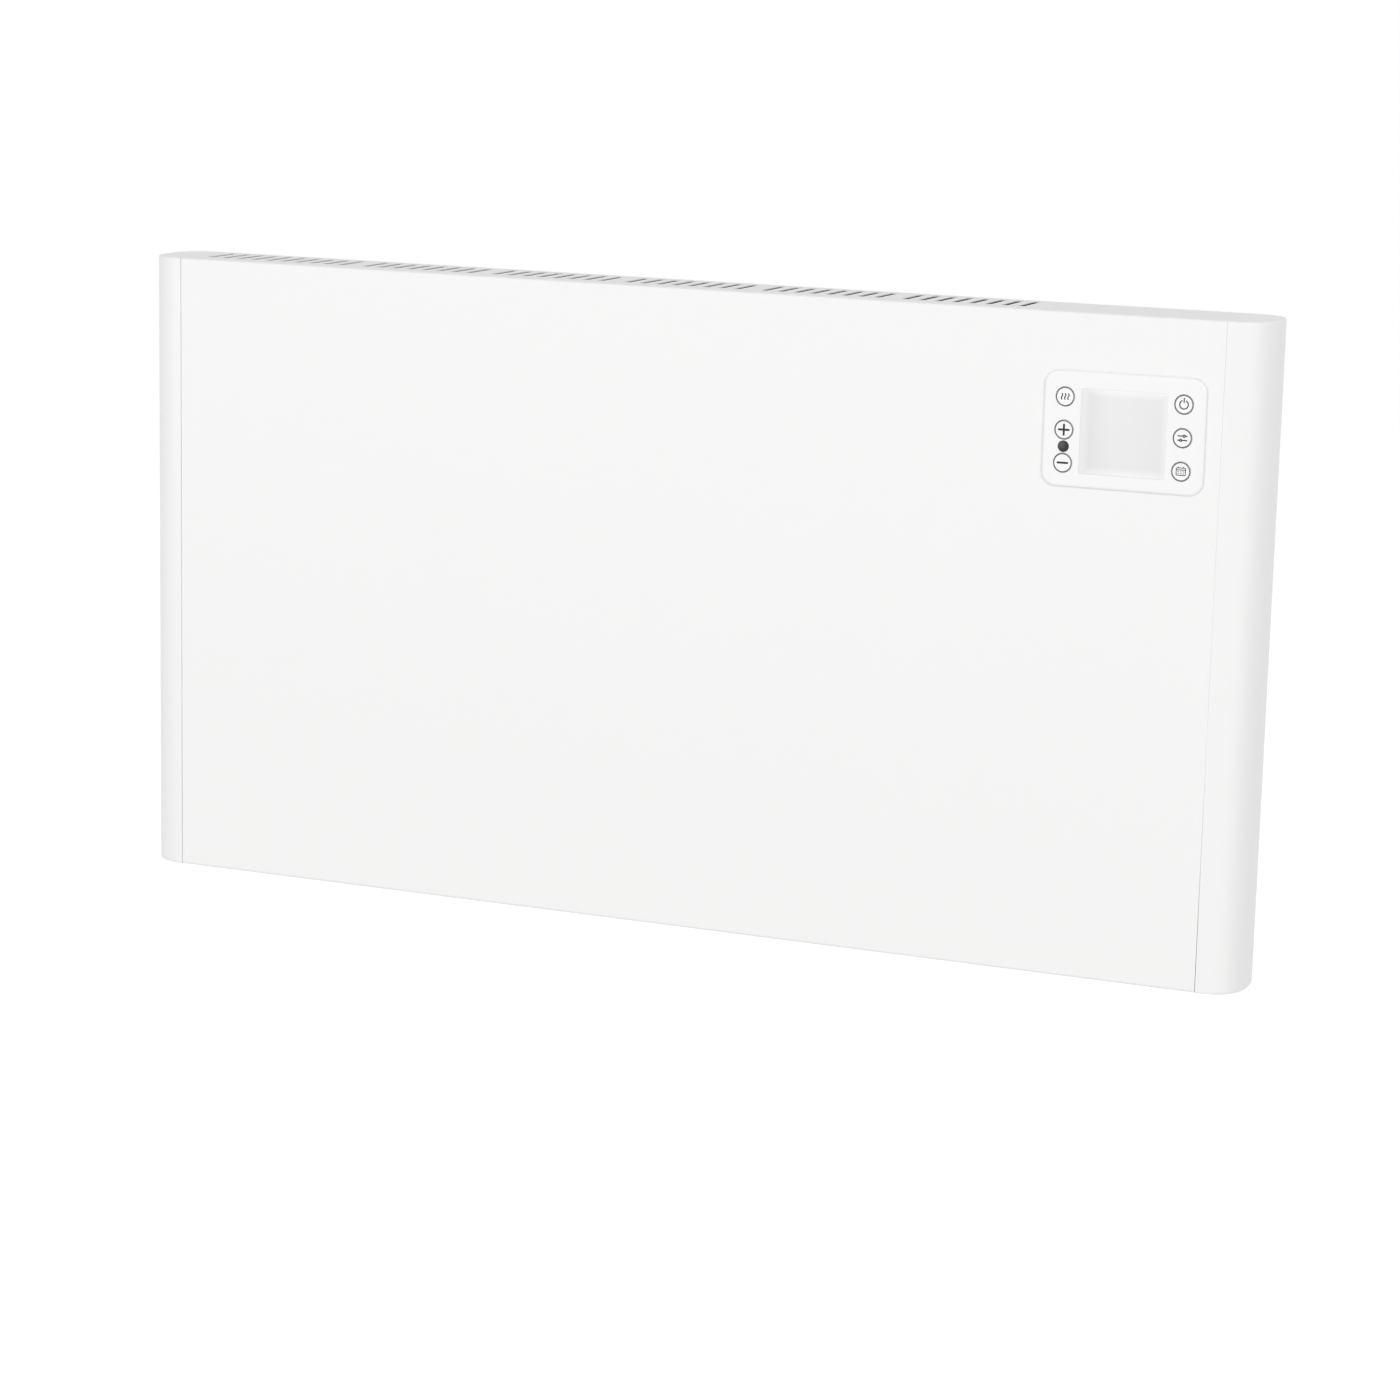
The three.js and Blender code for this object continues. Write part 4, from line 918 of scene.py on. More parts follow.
# ---------------------------------------------------------------- end caps
@dataclass
class EndCap:
    """A hollow moulded cap, with a tongue that plugs into the casing's end."""

    side: int
    name: str
    ledge_drop: tuple[float, float, float]
    squareness: float = 2.6
    wall: float = 2.2
    edge: float = 1.5
    gap: float = 0.4
    tongue: float = 9.0
    lip: float = 1.0
    ledge_gap: float = 0.05
    ledge_inset: float = 0.3
    turn_steps: int = 72
    edge_steps: int = 6
    boss_rise: float = 150.0
    boss_half: float = 5.0
    boss_depth: float = 9.0
    soft_edge: float = 0.12

    @property
    def width(self) -> float:
        """From the seam to the cap's outermost point."""
        return CAD_BOX[1][0] / MM - SEAM

    def plan(self, shrink: np.ndarray, start: float) -> tuple[np.ndarray, np.ndarray]:
        """A superellipse about the seam: x grows with the 2/e power of the cosine and y with that of
        the sine, from x = start at the front round to x = start at the back.

        Args:
            shrink: how far each row is drawn in.
            start: distance from the seam to both ends of the curve.

        Returns:
            x from the seam and y, one row for each shrink.
        """
        power = 2 / self.squareness
        reach = self.width - shrink[:, None]
        half = (BACK - FRONT) / 2
        limit = np.arccos((start / reach) ** (1 / power))
        angle = limit * np.linspace(-1, 1, self.turn_steps + 1)
        x = reach * np.cos(angle) ** power
        y = np.sign(angle) * (half - shrink[:, None]) * np.abs(np.sin(angle)) ** power
        return x, y + (FRONT + BACK) / 2

    def skin(self, surface: Surface, shrink: float, edge: float, start: float) -> np.ndarray:
        """Adds the side wall with its rounded rims and both flat ends.

        Args:
            surface: takes the faces.
            shrink: how far the skin lies inside the outer one.
            edge: radius of its rims.
            start: distance from the seam to where the skin begins.

        Returns:
            The loop of points where the skin begins.
        """
        turn = quarter(self.edge_steps)
        drawn = edge * (1 - np.sin(turn))
        rise = edge * (1 - np.cos(turn))
        tall = TOP - BOTTOM - 2 * shrink
        straight = np.linspace(edge, tall - edge, 6)[1:-1]
        height = np.concatenate([rise, straight, tall - rise[::-1]])
        inset = shrink + np.concatenate([drawn, 0 * straight, drawn[::-1]])
        x, y = self.plan(inset, start)
        z = np.broadcast_to((BOTTOM + shrink + height)[:, None], x.shape)
        wall = np.stack([x, y, z], axis=-1)
        surface.grid(wall)
        for row in (wall[0], wall[-1]):
            seat = row.copy()
            seat[:, 0] = start
            surface.grid(np.stack([row, seat]))
        lower, upper = wall[0].copy(), wall[-1].copy()
        lower[:, 0] = start
        upper[:, 0] = start
        return np.concatenate([wall[:-1, 0], upper[:-1], wall[:0:-1, -1], lower[:0:-1]])

    def ring(self, loop: np.ndarray, x: float, inset: float, y_high: float) -> np.ndarray:
        """Scales a loop to a rectangle drawn in from the front, top and bottom, at distance x.

        Args:
            loop: the points to scale.
            x: their new distance from the seam.
            inset: distance from the front, the top and the bottom.
            y_high: where the rectangle ends towards the wall.

        Returns:
            The new loop.
        """
        y0, y1 = loop[:, 1].min(), loop[:, 1].max()
        z0, z1 = loop[:, 2].min(), loop[:, 2].max()
        share_y = (loop[:, 1] - y0) / (y1 - y0)
        share_z = (loop[:, 2] - z0) / (z1 - z0)
        low = FRONT + inset
        return np.stack([
            np.full(len(loop), x),
            low + share_y * (y_high - low),
            BOTTOM + inset + share_z * (TOP - BOTTOM - 2 * inset),
        ], axis=-1)

    def ledge(self, loop: np.ndarray, far: float) -> np.ndarray:
        """Returns the step behind the seam: its depth grows from the middle to either end with the
        third power of the height, so that the seam looks wider there.

        Args:
            loop: the points where the skin begins.
            far: where the step ends towards the wall.

        Returns:
            The loop at the foot of the step.
        """
        lower, middle, upper = self.ledge_drop
        step = self.ring(loop, self.gap, self.ledge_inset, far)
        share = step[:, 2] / TOP
        ends = np.where(share > 0, upper, lower)
        depth = middle + (ends - middle) * np.abs(share) ** 3 - self.ledge_inset
        step[:, 1] += depth * (far - step[:, 1]) / (far - step[:, 1].min())
        return step

    def make(self, shop: Workshop) -> None:
        """Builds the cap as one closed skin and fits it."""
        surface = Surface()
        rim = self.gap + self.wall
        outer = self.skin(surface, 0.0, self.edge, self.gap)
        inner = self.skin(surface, self.wall, self.edge / 2, rim)
        gap = self.lip + SEAT
        far = CASING.high[1] - gap
        deep = gap + self.wall
        ledge = self.ledge(outer, far)
        surface.grid(np.stack([
            outer,
            ledge,
            ledge - np.array([self.gap - self.ledge_gap, 0, 0]),
            self.ring(outer, self.ledge_gap, gap, far),
            self.ring(outer, -self.tongue, gap, far),
            self.ring(outer, -self.tongue, deep, far - self.wall),
            self.ring(outer, rim, deep, far - self.wall),
            inner,
        ]), closed=True)
        for end in (-1, 1):
            low = np.array([-self.tongue, far - self.boss_depth, end * self.boss_rise - self.boss_half])
            high = np.array([rim - SEAT, far - self.wall / 2, end * self.boss_rise + self.boss_half])
            surface.block(low, high)
        for points in surface.points:
            points[:, 0] = self.side * (SEAM + points[:, 0])
        cap = surface.build(f"{self.name}_cap")
        soften(cap, self.soft_edge)
        shop.fit(cap, "cap_plastic", HEATER, f"{self.name}_end_cap")


# ---------------------------------------------------------------- control panel
@dataclass
class ControlPanel:
    """The raised plate with its skirt, the display window and the remote-control eye."""

    slope: float = 2.4
    slope_depth: float = 1.7
    slope_steps: int = 8
    undercut: float = 0.25
    flange: float = 4.5
    radius: float = 10.0
    skirt_radius: float = 5.0
    skirt_wall: float = 2.0
    gap: float = 0.3
    window_gap: float = 0.04
    window_radius: float = 0.5
    window_recess: float = 0.03
    eye_gap: float = 0.1
    eye_dome: float = 0.15
    eye_rim: float = 0.25
    eye_lift: float = 0.06
    face_border: float = 1.2
    hole_margin: float = 0.3
    glass_edge: float = 0.1
    plate_edge: float = 0.12
    lens_edge: float = 0.02

    @property
    def front(self) -> float:
        """The plate's face."""
        return PANEL.low[1]

    @property
    def back(self) -> float:
        """The back of the plate, just in front of the casing."""
        return FRONT - self.gap

    def window(self, grow: float = 0.0) -> Opening:
        """Returns the display window's outline."""
        window = Span.of("display_window")
        x, _, z = window.middle
        return Opening(x, z, window.size[0] + 2 * grow, window.size[2] + 2 * grow, self.window_radius, 3)

    def eye(self) -> tuple[float, float, float]:
        """Returns the eye's x, z and radius."""
        eye = Span.of("remote_eye")
        return eye.middle[0], eye.middle[2], eye.size[2] / 2

    def holes(self) -> list[Opening]:
        """Returns the holes for the window, the eye and the keys."""
        x, z, radius = self.eye()
        holes = [self.window(self.window_gap), disc(x, z, radius + self.eye_gap, 8)]
        for key in KEYS:
            holes.append(disc(*key.place, key.radius + key.gap, 12))
        return holes

    def plate(self) -> bpy.types.Object:
        """Builds the plate: a flat face, a slope that is a quarter of an ellipse, and the skirt behind."""
        surface = Surface()
        x, _, z = PANEL.middle
        outline = Opening(x, z, PANEL.size[0], PANEL.size[2], self.radius, 12)
        skirt = Opening(x, z, PANEL.size[0] - 2 * self.flange, PANEL.size[2] - 2 * self.flange,
                        self.skirt_radius, 12)
        inner = skirt.loop(-self.skirt_wall)
        rows = [on_y(self.front + self.slope_depth * (1 - math.cos(angle)))(
            outline.loop(-self.slope * (1 - math.sin(angle)))) for angle in quarter(self.slope_steps)]
        rows += [on_y(y)(loop) for y, loop in (
            (self.back - self.undercut, outline.loop()),
            (self.back, outline.loop(-self.undercut)),
            (self.back, skirt.loop()),
            (PANEL.high[1], skirt.loop()),
            (PANEL.high[1], inner),
            (self.back, inner),
        )]
        surface.grid(np.stack(rows), closed=True)
        face = outline.loop(-self.slope - self.face_border)
        surface.grid(np.stack([rows[0], on_y(self.front)(face)]), closed=True)
        holes = self.holes()
        surface.pierced(face, holes, self.hole_margin, on_y(self.front))
        surface.pierced(inner, holes, self.hole_margin, on_y(self.back))
        for hole in holes:
            loop = hole.loop()
            surface.grid(np.stack([on_y(self.front)(loop), on_y(self.back)(loop)]), closed=True)
        return surface.build("panel_plate")

    def glass(self) -> bpy.types.Object:
        """Builds the display window: a slab just below the plate's face, with a narrow chamfer."""
        surface = Surface()
        front = self.front + self.window_recess
        outline, face = self.window().loop(), self.window().loop(-self.glass_edge)
        surface.grid(np.stack([
            on_y(self.back)(outline),
            on_y(front + self.glass_edge)(outline),
            on_y(front)(face),
        ]), closed=True)
        surface.pierced(face, [], 0.0, on_y(front))
        surface.pierced(outline, [], 0.0, on_y(self.back))
        return surface.build("display_glass")

    def lens(self) -> bpy.types.Object:
        """Builds the eye: a shallow dome whose height falls with the square of the radius, above a rim
        that covers its hole.
        """
        x, z, radius = self.eye()
        surface = Surface()
        share = np.linspace(0, 1, 12) ** 0.8
        rim = radius + self.eye_rim
        seat = self.front - self.eye_lift
        dome = np.stack([share * rim, seat - self.eye_dome * (1 - share**2)], axis=-1)
        under = seat + self.eye_lift / 2
        rest = np.array([[rim, under], [radius, under], [radius, self.back], [0.0, self.back]])
        surface.lathe(np.vstack([dome, rest]), x, z)
        return surface.build("eye_lens")

    def make(self, shop: Workshop) -> None:
        """Builds and fits the plate, the window and the eye."""
        plate = self.plate()
        soften(plate, self.plate_edge, 2, 50)
        shop.fit(plate, "panel_plastic", HEATER, "control_panel")
        glass = self.glass()
        shop.fit(glass, "display_film", HEATER, "display_window")
        lens = self.lens()
        soften(lens, self.lens_edge, 1)
        shop.fit(lens, "eye_gloss", HEATER, "remote_eye")


# ---------------------------------------------------------------- keys
class Mark(Enum):
    """Symbols printed on the keys."""

    HEAT = "mode"
    PLUS = "plus"
    MINUS = "minus"
    POWER = "power"
    SLIDERS = "set"
    DAYS = "timer"


@dataclass
class Key:
    """A round push key with a printed ring and symbol."""

    mark: Mark
    gap: float = 0.3
    tab_reach: float = 1.1
    dish: float = 0.12
    round_edge: float = 0.25
    steps: int = 96
    ring_radius: float = 6.12
    ring_width: float = 0.76
    ink: float = 0.03
    bold_stroke: float = 1.4
    stroke: float = 0.8
    fine_stroke: float = 0.55
    arm: float = 3.45
    stem: float = 1.6
    shoulder: float = 1.0
    tab_root: float = 0.3
    tab_half: float = 3.0

    @property
    def span(self) -> Span:
        """The box of the CAD key."""
        return Span.of(f"{self.mark.value}_key")

    @property
    def place(self) -> tuple[float, float]:
        """The key's centre, x and z."""
        return self.span.middle[0], self.span.middle[2]

    @property
    def radius(self) -> float:
        """Radius of the key's cap."""
        return self.span.size[2] / 2

    def top(self, radius: np.ndarray) -> np.ndarray:
        """The y of the key's face: a shallow dish that rises with the square of the radius to its rim,
        and falls away over the rim's round as a quarter circle does.
        """
        edge = self.radius - self.round_edge
        dish = self.dish * (1 - np.minimum(radius / edge, 1) ** 2)
        past = np.clip((radius - edge) / self.round_edge, 0, 1)
        return self.span.low[1] + self.ink + dish + self.round_edge * (1 - np.sqrt(1 - past**2))

    def cap(self) -> bpy.types.Object:
        """Builds the cap and stem by turning one profile, with a tab at each side."""
        surface = Surface()
        edge = self.radius - self.round_edge
        face = np.linspace(0, edge, 10)
        turn = quarter(5)[1:]
        low = self.span.low[1] + self.ink
        back = FRONT + self.shoulder
        stem_end = self.span.high[1]
        rim = [edge + self.round_edge * np.sin(turn), low + self.round_edge * (1 - np.cos(turn))]
        profile = np.concatenate([
            np.stack([face, self.top(face)], axis=-1),
            np.stack(rim, axis=-1),
            np.array([[self.radius, back], [self.stem, back], [self.stem, stem_end], [0.0, stem_end]]),
        ])
        x, z = self.place
        surface.lathe(profile, x, z, self.steps)
        for side in (-1, 1):
            root, tip = self.radius - self.tab_root, self.radius + self.tab_reach
            ends = sorted((x + side * root, x + side * tip))
            surface.block(np.array([ends[0], FRONT, z - self.tab_half]),
                          np.array([ends[1], back, z + self.tab_half]))
        return surface.build(f"{self.mark.value}_cap")

    def line(self, surface: Surface, route: np.ndarray, width: float, closed: bool = False) -> None:
        """Prints a stroke: a strip of ink with round ends that follows the key's face.

        Args:
            surface: takes the faces.
            route: points in (x, z) about the key's centre.
            width: the stroke's width.
            closed: whether the stroke joins up.
        """
        half = width / 2
        if closed:
            ahead = np.roll(route, -1, axis=0) - np.roll(route, 1, axis=0)
            reach = np.full(len(route), half)
        else:
            ahead = np.gradient(route, axis=0)
            unit = ahead / np.linalg.norm(ahead, axis=1, keepdims=True)
            turn = quarter(4)[1:]
            before = route[0] - half * np.sin(turn[::-1, None]) * unit[0]
            after = route[-1] + half * np.sin(turn[:, None]) * unit[-1]
            end = half * np.cos(turn)
            reach = np.concatenate([end[::-1], np.full(len(route), half), end])
            ahead = np.concatenate([np.repeat(ahead[:1], 4, 0), ahead, np.repeat(ahead[-1:], 4, 0)])
            route = np.concatenate([before, route, after])
        across = np.stack([-ahead[:, 1], ahead[:, 0]], axis=-1)
        across = across / np.linalg.norm(across, axis=1, keepdims=True) * reach[:, None]
        sides = np.stack([route - across, route + across, route + across, route - across], axis=1)
        lift = np.array([self.ink, self.ink, -self.ink, -self.ink])
        y = self.top(np.linalg.norm(sides, axis=-1)) - lift
        x, z = self.place
        strip = np.stack([x + sides[..., 0], y, z + sides[..., 1]], axis=-1).transpose(1, 0, 2)
        strip = np.concatenate([strip, strip[:1]])
        surface.grid(strip, closed=closed)

    def arc(self, radius: float, start: float, end: float, count: int = 40) -> np.ndarray:
        """Returns points along an arc about the key's centre, between two angles in degrees."""
        angle = np.radians(np.linspace(start, end, count))
        return radius * np.stack([np.cos(angle), np.sin(angle)], axis=-1)

    def strokes(self) -> list[np.ndarray]:
        """Returns the routes of the symbol's strokes about the key's centre."""
        run = np.linspace(-1, 1, 13)
        level = np.stack([run, 0 * run], axis=-1)
        upright = level[:, ::-1]
        if self.mark is Mark.MINUS:
            return [self.arm * level]
        if self.mark is Mark.PLUS:
            inner = self.bold_stroke / 2
            half = (run[:, None] + 1) / 2 * (self.arm - inner) + inner
            rising = np.concatenate([0 * half, half], axis=1)
            return [self.arm * level, rising, -rising]
        if self.mark is Mark.POWER:
            radius, bar_half, bar_middle = 2.95, 1.35, 2.85
            bar = upright * bar_half + np.array([0, bar_middle])
            return [self.arc(radius, 120, 416), bar]
        if self.mark is Mark.HEAT:
            sway, wave_half, pitch = 0.45, 1.9, 2.3
            wave = np.stack([sway * np.sin(run * math.pi), wave_half * run], axis=-1)
            return [wave + np.array([shift, 0]) for shift in (-pitch, 0.0, pitch)]
        if self.mark is Mark.SLIDERS:
            rows = []
            reach, clear, knob_radius = 3.1, 0.95, 0.72
            for height, knob in ((1.45, 1.2), (-1.45, -1.2)):
                left = np.linspace(-reach, knob - clear, 9)
                right = np.linspace(knob + clear, reach, 9)
                rows += [np.stack([part, 0 * part + height], axis=-1) for part in (left, right)]
                ring = self.arc(knob_radius, 0, 360, 24)[:-1] + np.array([knob, height])
                rows.append(np.concatenate([ring, ring[:1]]))
            return rows
        sheet = Opening(0, 0, 6.4, 5.0, 0.7, 4).loop()
        days = [0.25 * level + np.array([column, row]) for row in (-0.1, -1.4) for column in (-1.8, 0, 1.8)]
        rings = [0.35 * upright + np.array([column, 2.7]) for column in (-1.7, 1.7)]
        return [np.concatenate([sheet, sheet[:1]]), 3.0 * level + np.array([0, 1.15])] + days + rings

    def print_ring(self) -> bpy.types.Object:
        """Builds the ring printed round the key's edge."""
        across = self.ring_radius + self.ring_width * np.linspace(-0.5, 0.5, 8)
        face = np.stack([across, self.top(across) - self.ink], axis=-1)
        back = np.stack([across, self.top(across) + self.ink], axis=-1)[::-1]
        surface = Surface()
        surface.lathe(np.concatenate([face, back, face[:1]]), *self.place, self.steps)
        return surface.build(f"{self.mark.value}_ring")

    def print_mark(self) -> bpy.types.Object:
        """Builds the printed symbol."""
        surface = Surface()
        width = {
            Mark.PLUS: self.bold_stroke,
            Mark.MINUS: self.bold_stroke,
            Mark.DAYS: self.fine_stroke,
        }.get(self.mark, self.stroke)
        for route in self.strokes():
            self.line(surface, route, width)
        return surface.build(f"{self.mark.value}_symbol")

    def make(self, shop: Workshop) -> None:
        """Builds and fits the key with its ring and symbol."""
        body = f"{self.mark.value}_button"
        shop.fit(self.cap(), "key_plastic", body, f"{self.mark.value}_key")
        shop.fit(self.print_ring(), "grey_ink", body)
        shop.fit(self.print_mark(), "dark_ink", body)


KEYS = [Key(mark) for mark in Mark]


# ---------------------------------------------------------------- small parts behind
@dataclass
class Screw:
    """A pan-head screw with a cross recess."""

    node: str
    head: float = 3.6
    height: float = 2.0
    shank: float = 1.6
    arm: float = 1.9
    arm_half: float = 0.42
    recess: float = 1.1
    crown_width: float = 1.0
    crown_drop: float = 0.9
    flare: float = 0.1
    tip: float = 0.4
    tip_length: float = 1.2
    edge: float = 0.06

    def cross(self, angles: np.ndarray, scale: float) -> np.ndarray:
        """Distance from the middle to the edge of a cross, in the direction of each angle."""
        fold = np.abs((angles + math.pi / 4) % (math.pi / 2) - math.pi / 4)
        along = self.arm / np.cos(fold)
        beside = self.arm_half / np.maximum(np.sin(fold), 1e-6)
        return scale * np.minimum(along, beside)

    def make(self, shop: Workshop) -> None:
        """Builds the screw as loops about its axis and fits it."""
        span = Span.of(self.node)
        x, _, z = span.middle
        foot, face = span.high[1] - self.height, span.high[1]
        corner = math.atan2(self.arm_half, self.arm)
        part = np.array([0, corner, (corner + math.pi / 4) / 2, math.pi / 4])
        octant = np.concatenate([part, math.pi / 2 - part[-2::-1]])
        angles = np.concatenate([octant[:-1] + k * math.pi / 2 for k in range(4)])
        steps = len(angles)
        turn = quarter(5)
        crown = np.stack([self.head - self.crown_width + np.sin(turn),
                          face - self.crown_drop * (1 - np.cos(turn))], axis=-1)
        loops = [
            (np.zeros(steps), face - self.recess),
            (self.cross(angles, 0.55), face - self.recess),
            (self.cross(angles, 1.0), face - 0.12),
            (self.cross(angles, 1.0) + self.flare, face),
            *[(np.full(steps, r), y) for r, y in crown],
            (np.full(steps, self.head), foot),
            (np.full(steps, self.shank), foot),
            (np.full(steps, self.shank), span.low[1] + self.tip_length),
            (np.full(steps, self.tip), span.low[1]),
            (np.zeros(steps), span.low[1]),
        ]
        rows = np.stack([np.stack([
            x + radius * np.cos(angles), np.full(steps, y), z + radius * np.sin(angles),
        ], axis=-1) for radius, y in loops])
        surface = Surface()
        surface.grid(rows, closed=True)
        screw = surface.build(self.node.replace("_screw_", "_bolt_"))
        soften(screw, self.edge, 1, 45)
        shop.fit(screw, "steel", HEATER, self.node)


@dataclass
class RubberParts:
    """The cord inlet's bush and the two feet that keep the heater off the wall."""

    bore: float = 4.6
    bush_wall: float = 2.8
    collar: float = 2.6
    lip: float = 0.8
    foot_radius: float = 11.0
    foot_tip: float = 8.0
    foot_rim: float = 1.2

    def bush(self, shop: Workshop) -> None:
        """Builds the bush: a bored sleeve with a collar on each side of the rear cover."""
        span = Span.of("cord_gland")
        x, _, z = span.middle
        body, wide = self.bore + self.bush_wall, self.bore + self.bush_wall + self.collar
        inner, outer = COVER.low[1] - SEAT, BACK + SEAT
        start, mouth = span.low[1], span.high[1]
        turn = quarter(4)
        lip = self.lip
        profile = np.concatenate([
            [[self.bore, start], [wide - 0.4, start], [wide, start + 0.4], [wide, inner], [body, inner],
             [body, outer], [wide, outer], [wide, outer + 1.6], [wide - 0.5, outer + 2.3],
             [body + 0.9, outer + self.collar]],
            np.stack([body - lip + lip * np.cos(turn), mouth - lip + lip * np.sin(turn)], axis=-1),
            np.stack([self.bore + lip - lip * np.sin(turn), mouth - lip + lip * np.cos(turn)], axis=-1),
            [[self.bore, start]],
        ])
        surface = Surface()
        surface.lathe(profile, x, z)
        piece = surface.build("inlet_bush")
        soften(piece, 0.15, 2, 50)
        shop.fit(piece, "rubber", HEATER, "cord_gland")

    def foot(self, side: str, shop: Workshop) -> None:
        """Builds one foot: a cone with a round rim and a shallow hollow in the face on the wall."""
        span = Span.of(f"{side}_wall_spacer")
        x, _, z = span.middle
        base, tip = span.low[1], span.high[1]
        turn = quarter(5)
        rim = self.foot_rim
        profile = np.concatenate([
            [[0.0, base], [self.foot_radius - 0.6, base], [self.foot_radius, base + 0.6],
             [self.foot_radius - 0.2, base + 2.0]],
            np.stack([self.foot_tip - rim + rim * np.cos(turn), tip - rim + rim * np.sin(turn)], axis=-1),
            [[5.2, tip], [4.4, tip - 0.8], [0.0, tip - 0.8]],
        ])
        surface = Surface()
        surface.lathe(profile, x, z)
        piece = surface.build(f"{side}_foot")
        soften(piece, 0.2, 2, 30)
        shop.fit(piece, "rubber", HEATER, f"{side}_wall_spacer")

    def make(self, shop: Workshop) -> None:
        """Builds the bush and both feet."""
        self.bush(shop)
        self.foot("left", shop)
        self.foot("right", shop)


@dataclass
class WallBracket:
    """The plate on the wall, folded forward at both ends into ears with hooks."""

    sheet: float = 2.0
    bend: float = 3.0
    plate_height: float = 150.0
    ear_end: float = 25.0
    hook_rise: float = 100.0
    hook_neck: float = 18.0
    hook_catch: float = 10.0
    finger: float = 3.5
    hole_x: float = 150.0
    hole_z: float = 50.0
    hole_width: float = 6.0
    hole_height: float = 16.0
    hole_margin: float = 1.2
    corner: float = 3.0
    relief: float = 2.0
    edge: float = 0.25

    def ear_outline(self) -> np.ndarray:
        """Returns an ear's outline in (y, z), anticlockwise seen with Y to the right, Z up."""
        span = Span.of("wall_bracket")
        front = BACK + SEAT
        tip = span.low[1]
        catch = tip + self.finger
        end = self.hook_rise + self.ear_end
        corner = end - self.corner
        fold = self.plate_height / 2
        notch = fold + self.relief
        points = [[0, -corner], [0, -notch], [-self.bend, -notch], [-self.bend, -fold],
                  [-self.bend, fold], [-self.bend, notch], [0, notch], [0, corner],
                  [-self.corner, end], [front, end]]
        for level in (1, -1):
            seat = level * self.hook_rise
            points += [[front, seat], [catch, seat], [catch, seat + self.hook_catch],
                       [tip + 1, seat + self.hook_catch], [tip, seat + self.hook_catch - 1],
                       [tip, seat - self.hook_neck + 2], [tip + 2, seat - self.hook_neck],
                       [front, seat - self.hook_neck]]
        return np.array(points + [[front, -end], [-self.corner, -end]], float)

    def make(self, shop: Workshop) -> None:
        """Builds the bracket as one sheet and fits it."""
        span = Span.of("wall_bracket")
        half = span.high[0]
        flat = half - self.bend
        fold = self.plate_height / 2
        holes = [Opening(i * self.hole_x, j * self.hole_z, self.hole_width, self.hole_height,
                         self.hole_width / 2, 6) for i in (-1, 1) for j in (-1, 1)]
        surface = Surface()
        corners = np.array([[-flat, -fold], [flat, -fold], [flat, fold], [-flat, fold]])
        surface.pierced(corners, holes, self.hole_margin, on_y(0.0))
        turn = quarter(8)
        outline = self.ear_outline()
        for side in (-1, 1):
            x = side * (flat + self.bend * np.sin(turn))
            bend = np.stack([x, -self.bend * (1 - np.cos(turn))], axis=-1)
            surface.grid(np.stack([on_z(z)(bend) for z in (-fold, fold)]))
            surface.pierced(outline, [], 0.0, on_x(side * half))
        bracket = surface.build("bracket_plate")
        sheet_metal(bracket, 1, self.sheet, self.edge)
        shop.fit(bracket, "galvanised", BRACKET, "wall_bracket")


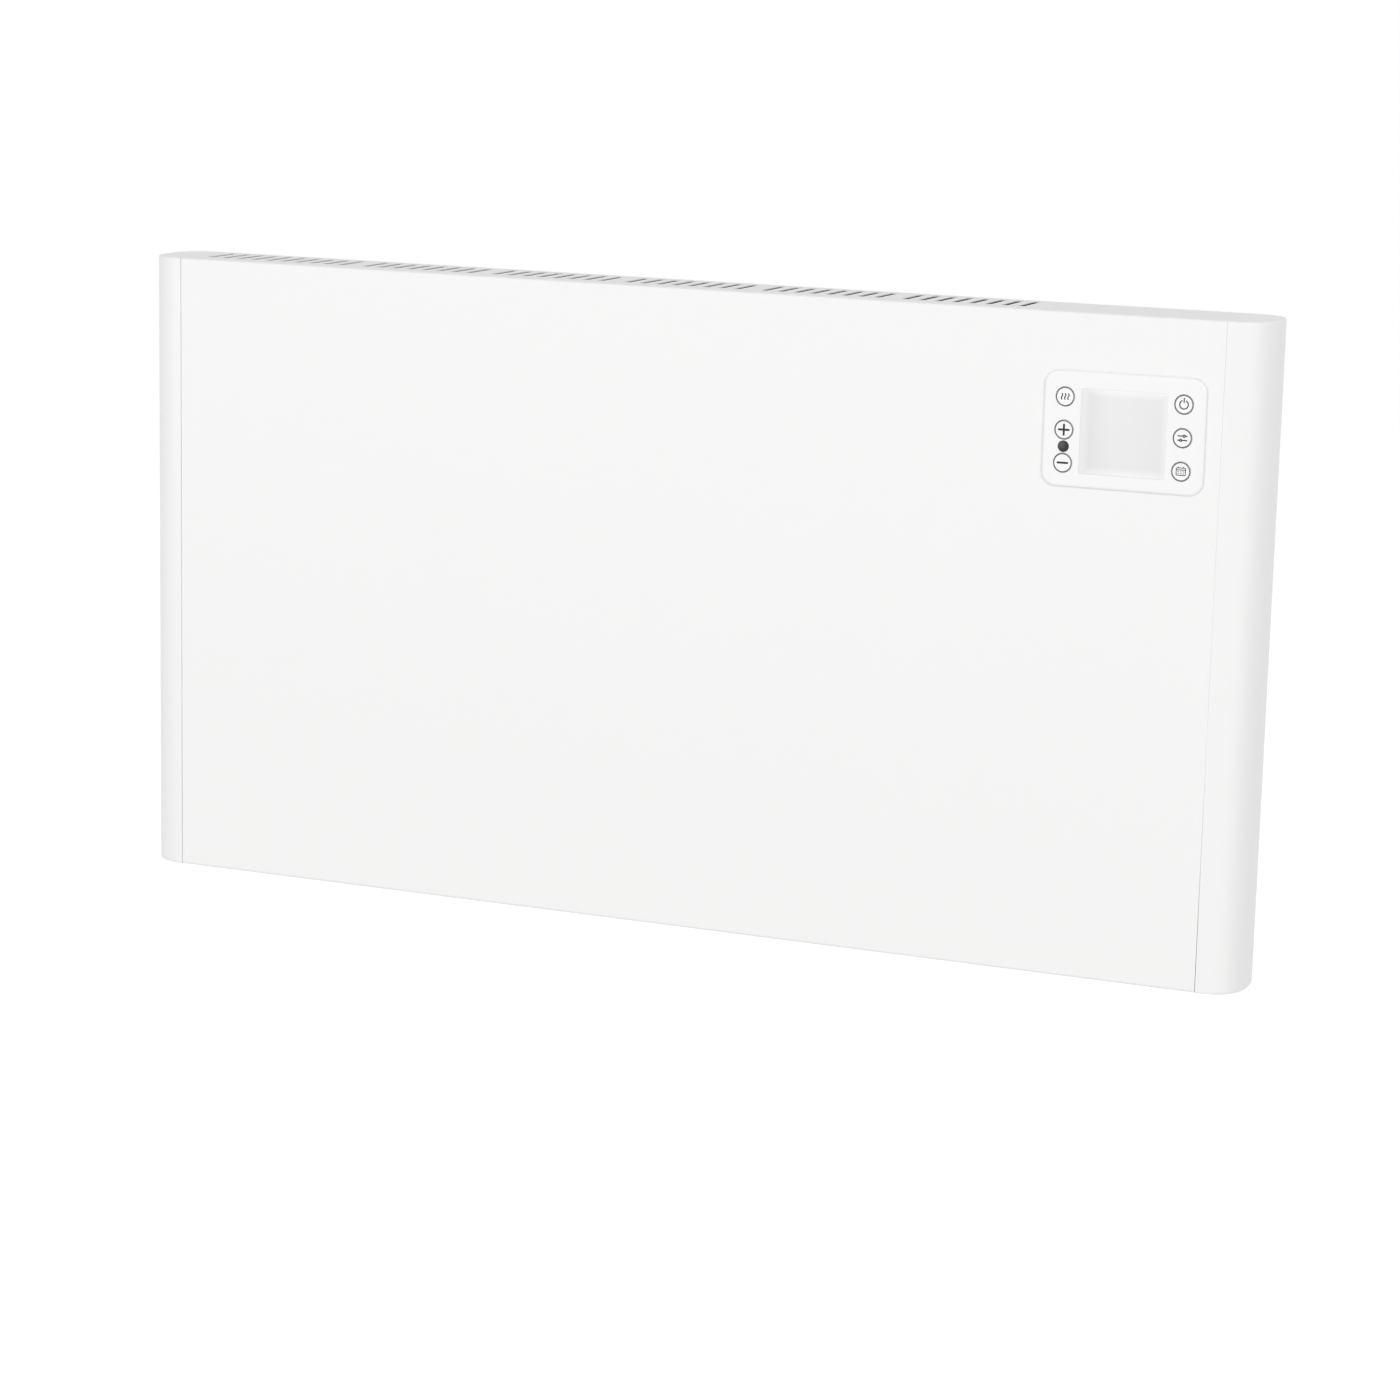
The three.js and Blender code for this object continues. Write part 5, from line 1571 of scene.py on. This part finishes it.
# ---------------------------------------------------------------- light and camera
@dataclass
class Studio:
    """A pale floor, an even soft light and the photograph's camera."""

    floor_z: float = -1.15
    floor_half: float = 9.0
    floor_glow: float = 0.55
    sky: float = 0.585
    lens: float = 98.95
    sensor: float = 36.0
    view_right: tuple[float, float, float] = (0.92223082, 0.38593177, 0.02338782)
    view_up: tuple[float, float, float] = (-0.09594956, 0.16984644, 0.98078839)
    from_corner: tuple[float, float, float] = (1449.08, -2484.09, 698.85)
    lamps: tuple[tuple[str, tuple[float, float, float], float, float], ...] = (
        ("key", (3.1, -3.0, 1.8), 2.0, 61),
        ("fill", (-2.2, -4.0, 0.7), 3.0, 52),
    )

    def floor(self) -> None:
        """Lays the floor: it glows as much as it needs to look white, and keeps the shadow."""
        mesh = bpy.data.meshes.new("floor")
        side = self.floor_half
        corners = [(-side, -side), (side, -side), (side, side), (-side, side)]
        mesh.from_pydata([(x, y, self.floor_z) for x, y in corners], [], [(0, 1, 2, 3)])
        floor = bpy.data.objects.new("floor", mesh)
        bpy.context.scene.collection.objects.link(floor)
        material = bpy.data.materials.new("floor")
        nodes = emptied(material)
        plain = nodes.add("BsdfDiffuse", Color=(0.8, 0.8, 0.8, 1))
        path = nodes.add("LightPath")
        seen = nodes.math("MAXIMUM", path.outputs["Is Camera Ray"], path.outputs["Is Glossy Ray"])
        strength = nodes.math("MULTIPLY", seen, self.floor_glow)
        glow = nodes.add("Emission", Color=(1, 1, 1, 1), Strength=strength)
        both = nodes.add("AddShader")
        nodes.feed(both.inputs[0], plain.outputs[0])
        nodes.feed(both.inputs[1], glow.outputs[0])
        nodes.add("OutputMaterial", Surface=both.outputs[0])
        mesh.materials.append(material)

    def sky_light(self) -> None:
        """Lights evenly from all round, and shows white to the camera and in reflections."""
        world = bpy.data.worlds.new("sky")
        nodes = emptied(world)
        path = nodes.add("LightPath")
        seen = nodes.math("MAXIMUM", path.outputs["Is Camera Ray"], path.outputs["Is Glossy Ray"])
        seen = nodes.math("MAXIMUM", seen, path.outputs["Is Transmission Ray"])
        strength = nodes.math("ADD", self.sky, nodes.math("MULTIPLY", seen, 1 - self.sky))
        sky = nodes.add("Background", Color=(1, 1, 1, 1), Strength=strength)
        nodes.add("OutputWorld", Surface=sky.outputs[0])
        bpy.context.scene.world = world

    def lamp(self, name: str, place: tuple[float, float, float], size: float, power: float) -> None:
        """Adds a soft square lamp that faces the heater.

        Args:
            name: the lamp's name.
            place: where it stands, in metres.
            size: its side, in metres.
            power: in watts.
        """
        light = bpy.data.lights.new(name, "AREA")
        light.shape = "SQUARE"
        light.size = size
        light.energy = power
        lamp = bpy.data.objects.new(name, light)
        lamp.location = place
        lamp.rotation_euler = (-Vector(place)).to_track_quat("-Z", "Y").to_euler()
        bpy.context.scene.collection.objects.link(lamp)

    def camera(self) -> None:
        """Sets the camera where the photograph's lines place it."""
        data = bpy.data.cameras.new("camera")
        data.lens = self.lens
        data.sensor_width = self.sensor
        data.clip_end = 100
        camera = bpy.data.objects.new("camera", data)
        right, up = Vector(self.view_right), Vector(self.view_up)
        away = right.cross(up).normalized()
        turn = Matrix((right, away.cross(right), away)).transposed()
        x, y, z = self.from_corner
        place = Vector((x - SEAM, y + FRONT, z + BOTTOM)) * MM
        camera.matrix_world = Matrix.Translation(place) @ turn.to_4x4()
        bpy.context.scene.collection.objects.link(camera)
        bpy.context.scene.camera = camera

    def make(self) -> None:
        """Sets up the floor, the light and the camera."""
        self.camera()
        self.floor()
        self.sky_light()
        for lamp in self.lamps:
            self.lamp(*lamp)
        bpy.context.scene.view_settings.view_transform = "Standard"


def main() -> None:
    """Builds the heater's sub-assemblies in order, then the studio."""
    shop = Workshop()
    Studio().make()
    shop.dress_frame()
    Casing().make(shop)
    EndCap(-1, "left", (1.1, 0.9, 1.2)).make(shop)
    EndCap(1, "right", (1.3, 0.12, 0.22)).make(shop)
    ControlPanel().make(shop)
    for key in KEYS:
        key.make(shop)
    for node in sorted(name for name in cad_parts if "_screw_" in name):
        Screw(node).make(shop)
    RubberParts().make(shop)
    WallBracket().make(shop)
    log.info("sizes written")


if __name__ == "__main__":
    main()
